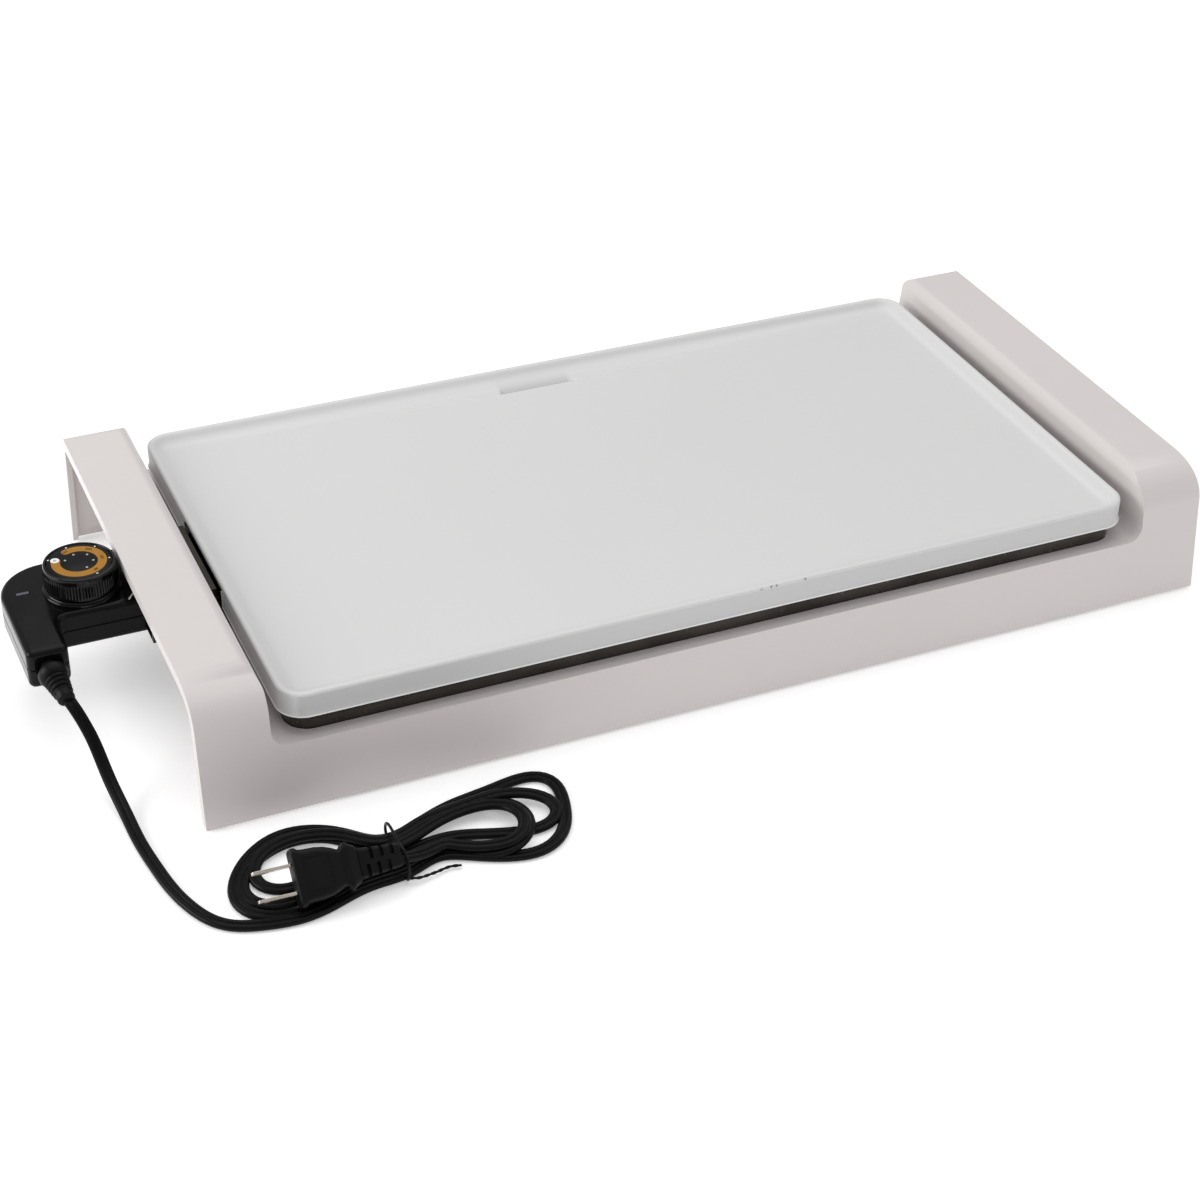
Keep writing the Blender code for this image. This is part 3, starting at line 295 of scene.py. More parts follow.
def make_materials():
    return {
        "plastic": surface("guard_plastic", (0.640, 0.600, 0.592), (0.655, 0.614, 0.606), 0.40, 0.05, 7.0,
                           1900.0, 0.00004, 0.28, 0.00005, specular=0.45).material,
        "ceramic": plate_coat(),
        "pan": pan_enamel(),
        "hood": surface("hood_steel", (0.020, 0.016, 0.013), (0.036, 0.030, 0.025), 0.34, 0.08, 40.0,
                        700.0, 0.00003, 0.25, 0.00005, metallic=0.8, stretch=(1.0, 12.0, 1.0)).material,
        "black": surface("black_plastic", (0.0026, 0.0026, 0.0027), (0.0036, 0.0036, 0.0037), 0.15, 0.04,
                         30.0, 2600.0, 0.00001, 0.12, 0.00003, specular=0.26).material,
        "case": surface("case_plastic", (0.0026, 0.0026, 0.0027), (0.0038, 0.0038, 0.0039), 0.14, 0.04,
                        30.0, 2400.0, 0.00001, 0.12, 0.00003, specular=0.14).material,
        "cord": surface("cord_vinyl", (0.0034, 0.0034, 0.0035), (0.0050, 0.0050, 0.0051), 0.33, 0.07,
                        60.0, 1800.0, 0.00003, 0.3, 0.00005, specular=0.10).material,
        "rubber": surface("soft_vinyl", (0.0040, 0.0040, 0.0041), (0.0058, 0.0058, 0.0059), 0.40, 0.08,
                          60.0, 2200.0, 0.00004, 0.35, 0.00005, specular=0.12).material,
        "foot": surface("foot_rubber", (0.020, 0.020, 0.021), (0.032, 0.032, 0.033), 0.78, 0.08, 80.0,
                        1600.0, 0.00008, 0.4).material,
        "nickel": surface("nickel_plate", (0.62, 0.56, 0.49), (0.72, 0.67, 0.60), 0.22, 0.08, 120.0,
                          2400.0, 0.00002, 0.3, 0.00004, metallic=1.0, stretch=(1.0, 9.0, 9.0)).material,
        "brass": surface("brass_spring", (0.66, 0.47, 0.20), (0.74, 0.56, 0.28), 0.28, 0.07, 90.0, 2000.0,
                         0.00002, 0.3, metallic=1.0).material,
        "steel": surface("zinc_steel", (0.52, 0.52, 0.51), (0.64, 0.63, 0.60), 0.33, 0.09, 90.0, 1800.0,
                         0.00003, 0.3, metallic=1.0).material,
        "sheath": surface("heater_sheath", (0.150, 0.160, 0.150), (0.25, 0.24, 0.21), 0.42, 0.09, 70.0,
                          1500.0, 0.00004, 0.35, metallic=0.85).material,
        "steatite": surface("steatite", (0.78, 0.74, 0.66), (0.83, 0.80, 0.73), 0.60, 0.08, 50.0, 1400.0,
                            0.00005, 0.35).material,
        "print_orange": surface("print_orange", (0.330, 0.145, 0.004), (0.370, 0.165, 0.006), 0.34, 0.05,
                                200.0, 3000.0, 0.00001, 0.2, specular=0.3).material,
        "white_print_and_highlight": surface("white_print_and_highlight", (0.78, 0.78, 0.77), (0.84, 0.84, 0.83), 0.36, 0.05, 200.0,
                               3000.0, 0.00001, 0.2).material,
        "print_grey": surface("print_grey", (0.38, 0.39, 0.36), (0.46, 0.47, 0.44), 0.36, 0.05, 200.0,
                              3000.0, 0.00001, 0.2).material,
        "lens": surface("lamp_lens", (0.060, 0.060, 0.090), (0.085, 0.085, 0.120), 0.14, 0.04, 150.0,
                        1500.0, 0.00002, 0.1, coat=0.5).material,
        "dial": surface("dial_face", (0.0040, 0.0040, 0.0045), (0.0052, 0.0052, 0.0058), 0.22, 0.04, 60.0,
                        2600.0, 0.00001, 0.15, 0.00002, specular=0.12).material,
    }


# ---- shape helpers ----
def arc(cx, cy, radius, start, end, steps):
    """Points on an arc, angles in degrees, both ends included."""
    angles = [math.radians(start + (end - start) * i / steps) for i in range(steps + 1)]
    return [(cx + radius * math.cos(a), cy + radius * math.sin(a)) for a in angles]


def rounded_rect(cx, cy, half_w, half_d, radius, steps=6):
    outline = []
    for sx, sy, start in ((1, 1, 0), (-1, 1, 90), (-1, -1, 180), (1, -1, 270)):
        outline += arc(cx + sx * (half_w - radius), cy + sy * (half_d - radius), radius,
                       start, start + 90, steps)
    return outline


def bezier(p0, p1, p2, steps):
    points = []
    for i in range(steps + 1):
        t = i / steps
        points.append(tuple((1 - t) ** 2 * a + 2 * t * (1 - t) * b + t * t * c
                            for a, b, c in zip(p0, p1, p2)))
    return points


def inset(outline, distance):
    """An anticlockwise outline moved inwards."""
    moved = []
    count = len(outline)
    for i, point in enumerate(outline):
        before = Vector(point) - Vector(outline[i - 1])
        after = Vector(outline[(i + 1) % count]) - Vector(point)
        n0 = Vector((-before.y, before.x)).normalized()
        n1 = Vector((-after.y, after.x)).normalized()
        mid = (n0 + n1).normalized()
        shift = mid * (distance / max(0.3, mid.dot(n0)))
        moved.append((point[0] + shift.x, point[1] + shift.y))
    return moved


def smoothstep(value, low, high):
    t = min(1.0, max(0.0, (value - low) / (high - low)))
    return t * t * (3 - 2 * t)


def mesh_of(bm, angle=35.0):
    bmesh.ops.recalc_face_normals(bm, faces=bm.faces)
    mesh = bpy.data.meshes.new("piece")
    bm.to_mesh(mesh)
    bm.free()
    mesh.shade_smooth()
    mesh.set_sharp_from_angle(angle=math.radians(angle))
    return mesh


def place(name, mesh, material=None):
    obj = bpy.data.objects.new(name, mesh)
    SCENE.collection.objects.link(obj)
    if material:
        mesh.materials.append(material)
    return obj


def ring_faces(bm, rings):
    """Skin through rings of vertices of equal count, closed at both ends."""
    count = len(rings[0])
    for lower, upper in zip(rings, rings[1:]):
        for i in range(count):
            j = (i + 1) % count
            bm.faces.new((lower[i], lower[j], upper[j], upper[i]))
    bm.faces.new(rings[0])
    bm.faces.new(rings[-1])


def loft(rings, angle=35.0):
    """A closed mesh through rings of points."""
    bm = bmesh.new()
    ring_faces(bm, [[bm.verts.new(p) for p in ring] for ring in rings])
    return mesh_of(bm, angle)


def levels(pairs):
    """Rings from (outline, height) pairs."""
    return [[(x, y, z) for x, y in outline] for outline, z in pairs]


def prism(outline, low, high, axis="Z"):
    """An outline given thickness: Z takes (x, y), X takes (y, z), Y takes (x, z)."""
    def at(u, v, w):
        return {"Z": (u, v, w), "X": (w, u, v), "Y": (u, w, v)}[axis]
    return loft([[at(u, v, w) for u, v in outline] for w in (low, high)])


def block(x0, x1, y0, y1, z0, z1):
    return prism([(x0, y0), (x1, y0), (x1, y1), (x0, y1)], z0, z1)


def rod(start, end, radius, segments=32):
    start, end = Vector(start), Vector(end)
    turn = (end - start).to_track_quat("Z", "Y").to_matrix().to_4x4()
    bm = bmesh.new()
    bmesh.ops.create_cone(bm, cap_ends=True, segments=segments, radius1=radius, radius2=radius,
                          depth=(end - start).length,
                          matrix=Matrix.Translation((start + end) / 2) @ turn)
    return mesh_of(bm)


def lathe(profile, place_matrix, steps=64, ripple=None):
    """A turned body: its profile leaves the axis and comes back; ripple(r, z, angle) adds to r."""
    bm = bmesh.new()
    rings = []
    for r, z in profile[1:-1]:
        ring = []
        for i in range(steps):
            a = math.tau * i / steps
            radius = r + (ripple(r, z, a) if ripple else 0.0)
            ring.append(bm.verts.new((radius * math.cos(a), radius * math.sin(a), z)))
        rings.append(ring)
    ring_faces(bm, rings)
    mesh = mesh_of(bm, 32)
    mesh.transform(place_matrix)
    return mesh


def shaped(obj, steps, angle=35.0, weighted=True):
    """Apply bevels (width and segments) and cuts or joins (an operation and a mesh) in order."""
    tools = []
    for kind, what in steps:
        if kind == "BEVEL":
            modifier = obj.modifiers.new("round", "BEVEL")
            modifier.width, modifier.segments = what
            modifier.limit_method = "ANGLE"
            modifier.angle_limit = math.radians(36)
        else:
            tool = place("tool", what)
            tools.append(tool)
            modifier = obj.modifiers.new("cut", "BOOLEAN")
            modifier.object, modifier.operation, modifier.solver = tool, kind, "EXACT"
    bpy.context.view_layer.update()
    graph = bpy.context.evaluated_depsgraph_get()
    mesh = bpy.data.meshes.new_from_object(obj.evaluated_get(graph))
    obj.modifiers.clear()
    obj.data = mesh
    mesh.shade_smooth()
    mesh.set_sharp_from_angle(angle=math.radians(angle))
    for tool in tools:
        bpy.data.objects.remove(tool)
    if weighted:
        modifier = obj.modifiers.new("even", "WEIGHTED_NORMAL")
        modifier.keep_sharp = True
    return obj


def catmull(points, steps=12):
    ends = [2 * points[0] - points[1]] + points + [2 * points[-1] - points[-2]]
    fine = []
    for p0, p1, p2, p3 in zip(ends, ends[1:], ends[2:], ends[3:]):
        for i in range(steps):
            t = i / steps
            fine.append(0.5 * (2 * p1 + (p2 - p0) * t + (2 * p0 - 5 * p1 + 4 * p2 - p3) * t * t
                               + (3 * p1 - p0 - 3 * p2 + p3) * t ** 3))
    return fine + [points[-1]]


def even(points, step):
    """The same line with its points at an even spacing."""
    total = sum((b - a).length for a, b in zip(points, points[1:]))
    count = round(total / step)
    spaced, walked = [points[0]], 0.0
    for a, b in zip(points, points[1:]):
        length = (b - a).length
        while len(spaced) < count and walked + length >= total * len(spaced) / count:
            spaced.append(a.lerp(b, (total * len(spaced) / count - walked) / length))
        walked += length
    return spaced + [points[-1]]


def relaxed(points, rounds, fixed=4):
    """Smooth a line without shrinking its loops."""
    points = [p.copy() for p in points]
    for k in range(rounds):
        factor = 0.5 if k % 2 == 0 else -0.515
        old = [p.copy() for p in points]
        for i in range(fixed, len(points) - fixed):
            points[i] = old[i] + ((old[i - 1] + old[i + 1]) / 2 - old[i]) * factor
    return points


# ---- cord ----
def cord_section():
    """Outline of the flat twin cord, (across, through): two round cores and a shallow groove."""
    r = CORD_THICK / 2
    centre = CORD_WIDTH / 2 - r
    side = [(centre + r * math.cos(math.radians(a)), r * math.sin(math.radians(a)))
            for a in (0, 25, 50, 72, 95, 118, 138)]
    top = side + [(0.0004, 0.00098), (0.0, 0.00088)]
    top += [(-x, y) for x, y in reversed(top[:-1])]
    return top + [(x, -y) for x, y in reversed(top[1:-1])]


def sweep_flat(line, section):
    """Rings of the section along the line, its wide side kept level."""
    rings = []
    side_before = None
    for i, point in enumerate(line):
        ahead = (line[min(i + 1, len(line) - 1)] - line[max(i - 1, 0)]).normalized()
        side = Vector((0, 0, 1)).cross(ahead)
        side = side.normalized() if side.length > 0.15 else side_before
        if side_before is not None:
            side = (side + side_before * 1.5).normalized()
        side = (side - ahead * side.dot(ahead)).normalized()
        side_before = side
        through = ahead.cross(side)
        rings.append([point + side * u + through * v for u, v in section])
    return rings


def make_cord(m):
    points = [Vector(p) / 1000 for p in ROUTE_MM]
    line = relaxed(even(catmull(points), 0.004), 120)
    line = even(catmull(line, 3), CORD_STEP)
    cord = place("mains_cord", loft(sweep_flat(line, cord_section()), 50), m["cord"])
    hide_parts("cord_lead", "cord_hank")
    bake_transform(cord)
    return cord, line


# ---- guard ----
def guard_profile(wall, low):
    """Section of the guard across its depth as (y, z), its walls moved in by a thickness."""
    height = GUARD_TOP - GUARD_LOW

    def front(z):
        return -GUARD_HALF_D + wall + 0.0080 * (z - GUARD_LOW) / height

    def rear(z):
        return GUARD_HALF_D - wall - 0.0098 * (z - GUARD_LOW) / height

    top = GUARD_TOP - wall
    down, back, small = 0.017 - wall, 0.027 - wall, 0.0055 - wall / 2
    outline = [(rear(low), low)]
    outline += bezier((rear(top - small), top - small), (rear(top), top), (rear(top) - small, top), 8)
    outline += bezier((front(top) + back, top), (front(top), top), (front(top - down), top - down), 24)
    return outline + [(front(low), low)]


def window_profile():
    left = GUARD_X - GUARD_HALF_W + BRIDGE_W
    right = GUARD_X + GUARD_HALF_W - BRIDGE_W
    foot, lip = 0.0080, 0.0060
    above = GUARD_TOP + 0.010
    outline = arc(left + foot, DECK_TOP + foot, foot, 180, 270, 12)
    outline += arc(right - foot, DECK_TOP + foot, foot, 270, 360, 12)
    outline += arc(right + lip, GUARD_TOP - lip, lip, 180, 90, 10)[:-1]
    outline += [(right + lip, GUARD_TOP), (right + lip, above), (left - lip, above),
                (left - lip, GUARD_TOP)]
    return outline + arc(left - lip, GUARD_TOP - lip, lip, 90, 0, 10)[1:]


def make_guard(m):
    x0, x1 = GUARD_X - GUARD_HALF_W, GUARD_X + GUARD_HALF_W
    inner = GUARD_HALF_W - BRIDGE_W + WALL
    left = x0 + BRIDGE_W
    hollow = place("hollow", prism(guard_profile(WALL, -0.010), x0 + 0.0030, x1 - 0.0030, "X"))
    keep = block(GUARD_X - inner, GUARD_X + inner, -0.2, 0.2, DECK_TOP - WALL, 0.1)
    shaped(hollow, [("DIFFERENCE", keep)], weighted=False)
    hollow_mesh = hollow.data
    bpy.data.objects.remove(hollow)
    steps = [("DIFFERENCE", prism(window_profile(), -0.2, 0.2, "Y")), ("BEVEL", (0.0019, 5)),
             ("DIFFERENCE", hollow_mesh),
             ("DIFFERENCE", prism(guard_profile(MOUTH_INSET, -0.012), x0 - 0.02, x0 + 0.0045, "X")),
             ("DIFFERENCE", prism(guard_profile(MOUTH_INSET, -0.012), x1 - 0.0045, x1 + 0.02, "X")),
             ("DIFFERENCE", prism(rounded_rect(GUARD_X, 0.0, 0.2266, 0.1246, 0.0125, 8), 0.022, 0.043)),
             ("DIFFERENCE", block(left - 0.006, left + 0.012, *HOOD_NOTCH_Y, 0.0295, 0.0585))]
    guard = place("guard", prism(guard_profile(0.0, GUARD_LOW), x0, x1, "X"), m["plastic"])
    shaped(guard, steps, 30)
    posts = [(GUARD_X + sx * POST_X, sy * POST_Y) for sx in (-1, 1) for sy in (-1, 1)]
    for x, y in posts:
        bore_y = math.copysign(SCREW_Y, y)
        shaped(guard, [("UNION", rod((x, y, 0.0035), (x, y, 0.0190), 0.009)),
                       ("DIFFERENCE", rod((x, bore_y, 0.0085), (x, bore_y, 0.030), 0.0018, 16)),
                       ("DIFFERENCE", rod((x, y, 0.0), (x, y, 0.0080), 0.0028, 20))], 30)
        guard.modifiers.clear()
    modifier = guard.modifiers.new("even", "WEIGHTED_NORMAL")
    modifier.keep_sharp = True
    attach(guard, "base")
    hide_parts("guard_shell")


# ---- griddle plate ----
WELL_X = (-0.0010, 0.0434)     # ends of the grease well


def side_stations(count, half, dense=()):
    """Fractions along a side where vertices stand, with more of them in the dense spans."""
    stations = {i / count for i in range(1, count)}
    for start, end, number in dense:
        for i in range(number + 1):
            stations.add((start + (end - start) * i / number + half) / (2 * half))
    return sorted(s for s in stations if 0.0 < s < 1.0)


def plate_stations():
    """Where vertices stand along the rear, left, front and right sides, as fractions."""
    half_w, half_d = PLATE_HALF_W - PLATE_CORNER, PLATE_HALF_D - PLATE_CORNER
    well_ends = [(GUARD_X - x - 0.006, GUARD_X - x + 0.006, 20) for x in WELL_X]
    notch_ends = [(-y - 0.0016, -y + 0.0016, 8) for y in HOOD_NOTCH_Y]
    return (side_stations(60, half_w, well_ends), side_stations(26, half_d, notch_ends),
            side_stations(40, half_w), side_stations(26, half_d))


def plate_ring(depth, stations):
    """Plan of the plate moved in by a distance, anticlockwise from the rear right corner."""
    half_w, half_d = PLATE_HALF_W - depth, PLATE_HALF_D - depth
    r = max(PLATE_CORNER - depth, 0.0012)
    corners = []
    for sx, sy, start in ((1, 1, 0), (-1, 1, 90), (-1, -1, 180), (1, -1, 270)):
        corners.append(arc(GUARD_X + sx * (half_w - r), sy * (half_d - r), r, start, start + 90, 12))
    ring = []
    for k in range(4):
        ring += corners[k]
        a, b = Vector(corners[k][-1]), Vector(corners[(k + 1) % 4][0])
        ring += [tuple(a.lerp(b, t)) for t in stations[k]]
    return ring


def tray_depth(x, y):
    """How far the cooking surface dips below its floor: the grease well and the gutter that feeds it."""
    from_rear = PLATE_HALF_D - y
    gutter_x = abs(x - (WELL_X[0] + WELL_X[1]) / 2) / PLATE_HALF_W
    gutter = (0.0011 * (1.0 - smoothstep(gutter_x, 0.10, 1.08)) * smoothstep(from_rear, 0.0086, 0.0125)
              * (1.0 - smoothstep(from_rear, 0.0155, 0.0205)))
    ends = smoothstep(x, WELL_X[0] - 0.0016, WELL_X[0] + 0.0026)
    ends *= 1.0 - smoothstep(x, WELL_X[1] - 0.0026, WELL_X[1] + 0.0016)
    dip = min(1.0, max(0.0, (from_rear - 0.0072) / 0.0134)) ** 1.35
    well = 0.0027 * ends * dip * (1.0 - smoothstep(from_rear, 0.0207, 0.0210))
    return max(gutter, well)


RIM = ((0.0000, 0.0580), (0.0001, 0.0584), (0.0003, 0.0588), (0.0007, 0.0591), (0.0012, 0.0593),
       (0.0019, 0.05932), (0.0026, 0.0592), (0.0032, 0.0589), (0.0038, 0.0584), (0.0045, 0.0577),
       (0.0053, 0.0569), (0.0062, 0.0562), (0.0072, 0.0556), (0.0084, 0.0551), (0.0098, 0.05485),
       (0.0112, 0.0548), (0.0125, 0.0548), (0.0138, 0.0548), (0.0152, 0.0548), (0.0166, 0.0548),
       (0.0180, 0.0548), (0.0192, 0.0548), (0.0200, 0.0548), (0.0204, 0.0548), (0.0207, 0.0548),
       (0.0210, 0.0548), (0.0213, 0.0548), (0.0218, 0.0548), (0.0228, 0.0548), (0.0250, 0.0548))
SKIRT = ((0.0046, 0.0520), (0.0036, 0.0516), (0.0030, 0.0508), (0.0030, 0.0480), (0.0029, 0.0467),
         (0.0024, 0.0463), (0.0000, 0.0463), (-0.0006, 0.0464), (-0.0007, 0.0466), (-0.0001, 0.0473),
         (0.0000, 0.0500), (0.0000, 0.0540), (0.0000, 0.0573))
NOTCH_TOP = 0.0566


def make_plate(m):
    stations = plate_stations()
    bm = bmesh.new()
    rings = []
    for depth, z in SKIRT:
        ring = []
        for x, y in plate_ring(depth, stations):
            at_hood = x < GUARD_X - PLATE_HALF_W + 0.006 and HOOD_NOTCH_Y[0] < y < HOOD_NOTCH_Y[1]
            raised = at_hood and depth < 0.0040
            ring.append(bm.verts.new((x, y, max(z, NOTCH_TOP) if raised else z)))
        rings.append(ring)
    for depth, z in RIM:
        rings.append([bm.verts.new((x, y, z - tray_depth(x, y))) for x, y in plate_ring(depth, stations)])
    ring_faces(bm, rings)
    plate = place("plate", mesh_of(bm, 40), m["ceramic"])
    modifier = plate.modifiers.new("even", "WEIGHTED_NORMAL")
    modifier.keep_sharp = True
    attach(plate, "plate")
    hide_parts("griddle_plate")


# ---- controller ----
def case_outline():
    left, inner, front, arm_front, arm_rear, arm_end = -0.3015, -0.2803, -0.0430, -0.0165, 0.0340, -0.2045
    outline = arc(left + 0.0045, front + 0.0035, 0.0035, 180, 270, 8)
    outline += arc(inner - 0.0035, front + 0.0035, 0.0035, 270, 360, 8)
    outline += arc(inner + 0.0050, arm_front - 0.0050, 0.0050, 180, 90, 10)
    outline += [(arm_end, arm_front), (arm_end, arm_rear)]
    return outline + arc(left + 0.0245, 0.0095, 0.0245, 90, 180, 20)


def case_half(name, node, low, high, closed_top, material):
    outline = case_outline()
    r = 0.0030
    bend = [(r * (1 - math.cos(math.radians(a))), r * math.sin(math.radians(a)))
            for a in range(0, 91, 15)]
    if closed_top:
        pairs = [(inset(outline, 0.00025), low), (outline, low + 0.0003)]
        pairs += [(inset(outline, d), high - r + h) for d, h in bend]
        cut = (low - 0.01, high - 0.0020)
    else:
        pairs = [(inset(outline, d), low + r - h) for d, h in reversed(bend)]
        pairs += [(outline, high - 0.0003), (inset(outline, 0.00025), high)]
        cut = (low + 0.0020, high + 0.01)
    half = place(name, loft(levels(pairs), 40), material)
    along_boot = Vector((0, 0.006, 0))
    steps = [("DIFFERENCE", prism(inset(outline, 0.0020), *cut)),
             ("DIFFERENCE", block(-0.2085, -0.2005, -0.0093, 0.0263, 0.0375, 0.0503)),
             ("DIFFERENCE", rod(BOOT_START + along_boot, BOOT_START - along_boot, 0.0058))]
    if closed_top:
        steps += [("DIFFERENCE", rod((*KNOB.xy, 0.050), (*KNOB.xy, 0.060), 0.0036)),
                  ("DIFFERENCE", block(-0.2945, -0.2875, 0.0077, 0.0103, 0.050, 0.060))]
    else:
        for x, y in ((-0.2945, -0.0325), (-0.2935, 0.0180), (-0.2180, -0.0100), (-0.2180, 0.0275)):
            steps.append(("DIFFERENCE", rod((x, y, 0.030), (x, y, 0.0371), 0.0029, 24)))
    shaped(half, steps, 34)
    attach(half, "controller")
    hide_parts(node)


def stroke(start, end, width, low, high):
    """A thin printed bar between two points."""
    start, end = Vector(start), Vector(end)
    side = (end - start).normalized().orthogonal() * width / 2
    outline = [tuple(p) for p in (start - side, end - side, end + side, start + side)]
    return prism(outline, low, high)


def make_controller(m):
    case_half("case_top", "controller_upper", CASE_SPLIT + 0.0003, CASE_TOP, True, m["case"])
    case_half("case_base", "controller_lower", CASE_LOW, CASE_SPLIT, False, m["case"])
    # A painted highlight: a thin white stroke on the case top by the arm's front edge.
    highlight_stroke = place("painted_edge_highlight", stroke((-0.2441, -0.0146), (-0.2402, -0.0092), 0.0008, CASE_TOP - 0.0002,
                                        CASE_TOP + 0.00008), m["white_print_and_highlight"])
    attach(highlight_stroke, "controller")
    profile = [(0, 0.0022), (0.0150, 0.0022), (0.0168, 0.00225), (0.0176, 0.0021), (0.0180, 0.0017),
               (0.0181, 0.0013), (0.0184, 0.00115), (0.0188, 0.0012), (0.0191, 0.0009), (0.0192, 0.0003),
               (0.0150, 0.0003), (0, 0.0003)]
    collar = shaped(place("knob_seat", lathe(profile, Matrix.Translation((*KNOB.xy, CASE_TOP)), 96),
                          m["black"]),
                    [("DIFFERENCE", rod((*KNOB.xy, 0.050), (*KNOB.xy, 0.060), 0.0042))])
    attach(collar, "controller")
    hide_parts("knob_collar")


def make_boot(m):
    axis = (BOOT_END - BOOT_START).normalized()
    length = (BOOT_END - BOOT_START).length
    turn = (-axis).to_track_quat("Z", "Y").to_matrix().to_4x4()
    profile = [(0, 0.0056), (0.0060, 0.0056), (0.0060, 0.0043), (0.0046, 0.0041), (0.0046, -0.0021),
               (0.0066, -0.0022), (0.0071, -0.0026), (0.0073, -0.0034), (0.0072, -0.0050),
               (0.0068, -0.0064), (0.0061, -0.0075)]
    for i in range(4):
        z, r = -0.0080 - 0.0026 * i, 0.0061 - 0.0004 * i
        profile += [(r - 0.0010, z), (r - 0.0010, z - 0.0006), (r - 0.0002, z - 0.0009), (r, z - 0.0013),
                    (r - 0.0001, z - 0.0018), (r - 0.0005, z - 0.0020)]
    profile += [(0.0042, -0.0188), (0.0043, -length + 0.0010), (0.0040, -length + 0.0003),
                (0.0035, -length), (0, -length)]
    boot = place("cord_boot", lathe(profile, Matrix.Translation(BOOT_START) @ turn, 48), m["rubber"])
    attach(boot, "controller")
    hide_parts("strain_relief")


# ---- knob, whose marks lie at a radius in metres and an angle in degrees ----
REST_MARK = (0.0118, 156)
DIAL_DOTS = ((0.0152, 155), (0.0145, 102.5), (0.0146, 45.3), (0.0146, -8.2), (0.0147, -66.7))
INNER_DOT_R = 0.0069
NUMBER_R = 0.0113
DIAL_NUMBERS = (("250", 115), ("200", 53), ("160", 0), ("80", -58))


def knob_ripple(r, z, angle):
    """Grip ribs round the side, fading out towards the smooth top band and the foot."""
    if r < KNOB_R - 0.0012:
        return 0.0
    fade = smoothstep(z, 0.0010, 0.0018) * (1.0 - smoothstep(z, 0.0078, 0.0090))
    return 0.00045 * fade * (abs(math.sin(angle * 36)) - 0.6)


def flat_ring(centre, inner, outer, start, end, low, high, steps=72):
    """A flat sector between two radii, as a thin prism with round ends."""
    outline = arc(*centre, outer, start, end, steps)
    mid, half = (inner + outer) / 2, (outer - inner) / 2
    tip, tail = ((centre[0] + mid * math.cos(turn), centre[1] + mid * math.sin(turn))
                 for turn in (math.radians(end), math.radians(start)))
    outline += arc(*tip, half, end, end + 180, 12)[1:-1]
    outline += arc(*centre, inner, end, start, steps)
    outline += arc(*tail, half, start - 180, start, 12)[1:-1]
    return prism(outline, low, high)


def knob_piece(name, mesh, material, slot, *nodes):
    piece = place(name, mesh, material)
    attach(piece, "knob")
    if nodes:
        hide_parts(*nodes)
    return piece


def dial_point(radius, angle):
    angle = math.radians(angle)
    return (KNOB.x + radius * math.cos(angle), KNOB.y + radius * math.sin(angle))


def make_knob(m):
    low = CASE_TOP + 0.0026
    tall = KNOB_TOP - low
    profile = [(0, tall - 0.0010), (0.0159, tall - 0.0010), (0.0161, tall - 0.0003), (0.0163, tall),
               (0.0168, tall), (0.0173, tall - 0.0002), (0.0176, tall - 0.0007), (0.0177, tall - 0.0014)]
    profile += [(0.0177 + 0.0003 * smoothstep(t, 0.0, 1.0), tall - 0.0014 - t * 0.0094)
                for t in [i / 18 for i in range(1, 19)]]
    profile += [(0.0179, 0.0012), (0.0180, 0.0007), (0.0178, 0.0002), (0.0174, 0.0), (0, 0.0)]
    mesh = lathe(profile, Matrix.Translation((*KNOB.xy, low)), 480, knob_ripple)
    knob = knob_piece("knob_grip", mesh, m["black"], "black_plastic", "knob")
    shaped(knob, [("DIFFERENCE", rod((*KNOB.xy, 0.050), (*KNOB.xy, 0.0662), 0.0033))], 34, False)
    knob.data.materials.clear()
    knob.data.materials.append(m["black"])
    face = KNOB_TOP - 0.0002
    disc = lathe([(0, 0.0006), (0.0154, 0.0006), (0.0156, 0.00055), (0.0158, 0.0004), (0.0158, 0.0),
                  (0, 0.0)],
                 Matrix.Translation((*KNOB.xy, face - 0.0006)), 96)
    knob_piece("dial_disc", disc, m["dial"], "dial_print", "knob_dial")
    under, over = face - 0.0001, face + 0.00006
    centre = tuple(KNOB.xy)
    knob_piece("dial_band", flat_ring(centre, 0.0091, 0.0135, 158, 472, under, over), m["print_orange"],
               "dial_print")
    rest = dial_point(*REST_MARK)
    spot = rod((*rest, under), (*rest, over + 0.00003), 0.0022)
    knob_piece("dial_rest_spot", spot, m["white_print_and_highlight"], "dial_print")
    hole = rod((*rest, over), (*rest, over + 0.00006), 0.0009)
    knob_piece("dial_rest_mark", hole, m["print_grey"], "dial_print")
    for i, (radius, angle) in enumerate(DIAL_DOTS):
        point = dial_point(radius, angle)
        knob_piece("dial_dot_%d" % i, rod((*point, under), (*point, over), 0.00045, 20), m["white_print_and_highlight"],
                   "dial_print")
        point = dial_point(INNER_DOT_R, angle - 3)
        knob_piece("dial_inner_dot_%d" % i, rod((*point, under), (*point, over), 0.0006, 20),
                   m["print_grey"], "dial_print")
    for text, angle in DIAL_NUMBERS:
        knob_piece("dial_number_" + text, number_mesh(text, angle, over), m["black"], "dial_print")


def number_mesh(text, angle, height):
    """A small raised number on the dial's band, reading outwards from the centre."""
    curve = bpy.data.curves.new("number", "FONT")
    curve.body = text
    curve.size = 0.0024
    curve.extrude = 0.00003
    curve.align_x = "CENTER"
    curve.align_y = "CENTER"
    guide = bpy.data.objects.new("number", curve)
    SCENE.collection.objects.link(guide)
    bpy.context.view_layer.update()
    graph = bpy.context.evaluated_depsgraph_get()
    mesh = bpy.data.meshes.new_from_object(guide.evaluated_get(graph))
    bpy.data.objects.remove(guide)
    mesh.transform(Matrix.Translation((*dial_point(NUMBER_R, angle), height + 0.00002))
                   @ Matrix.Rotation(math.radians(angle - 90), 4, "Z"))
    return mesh


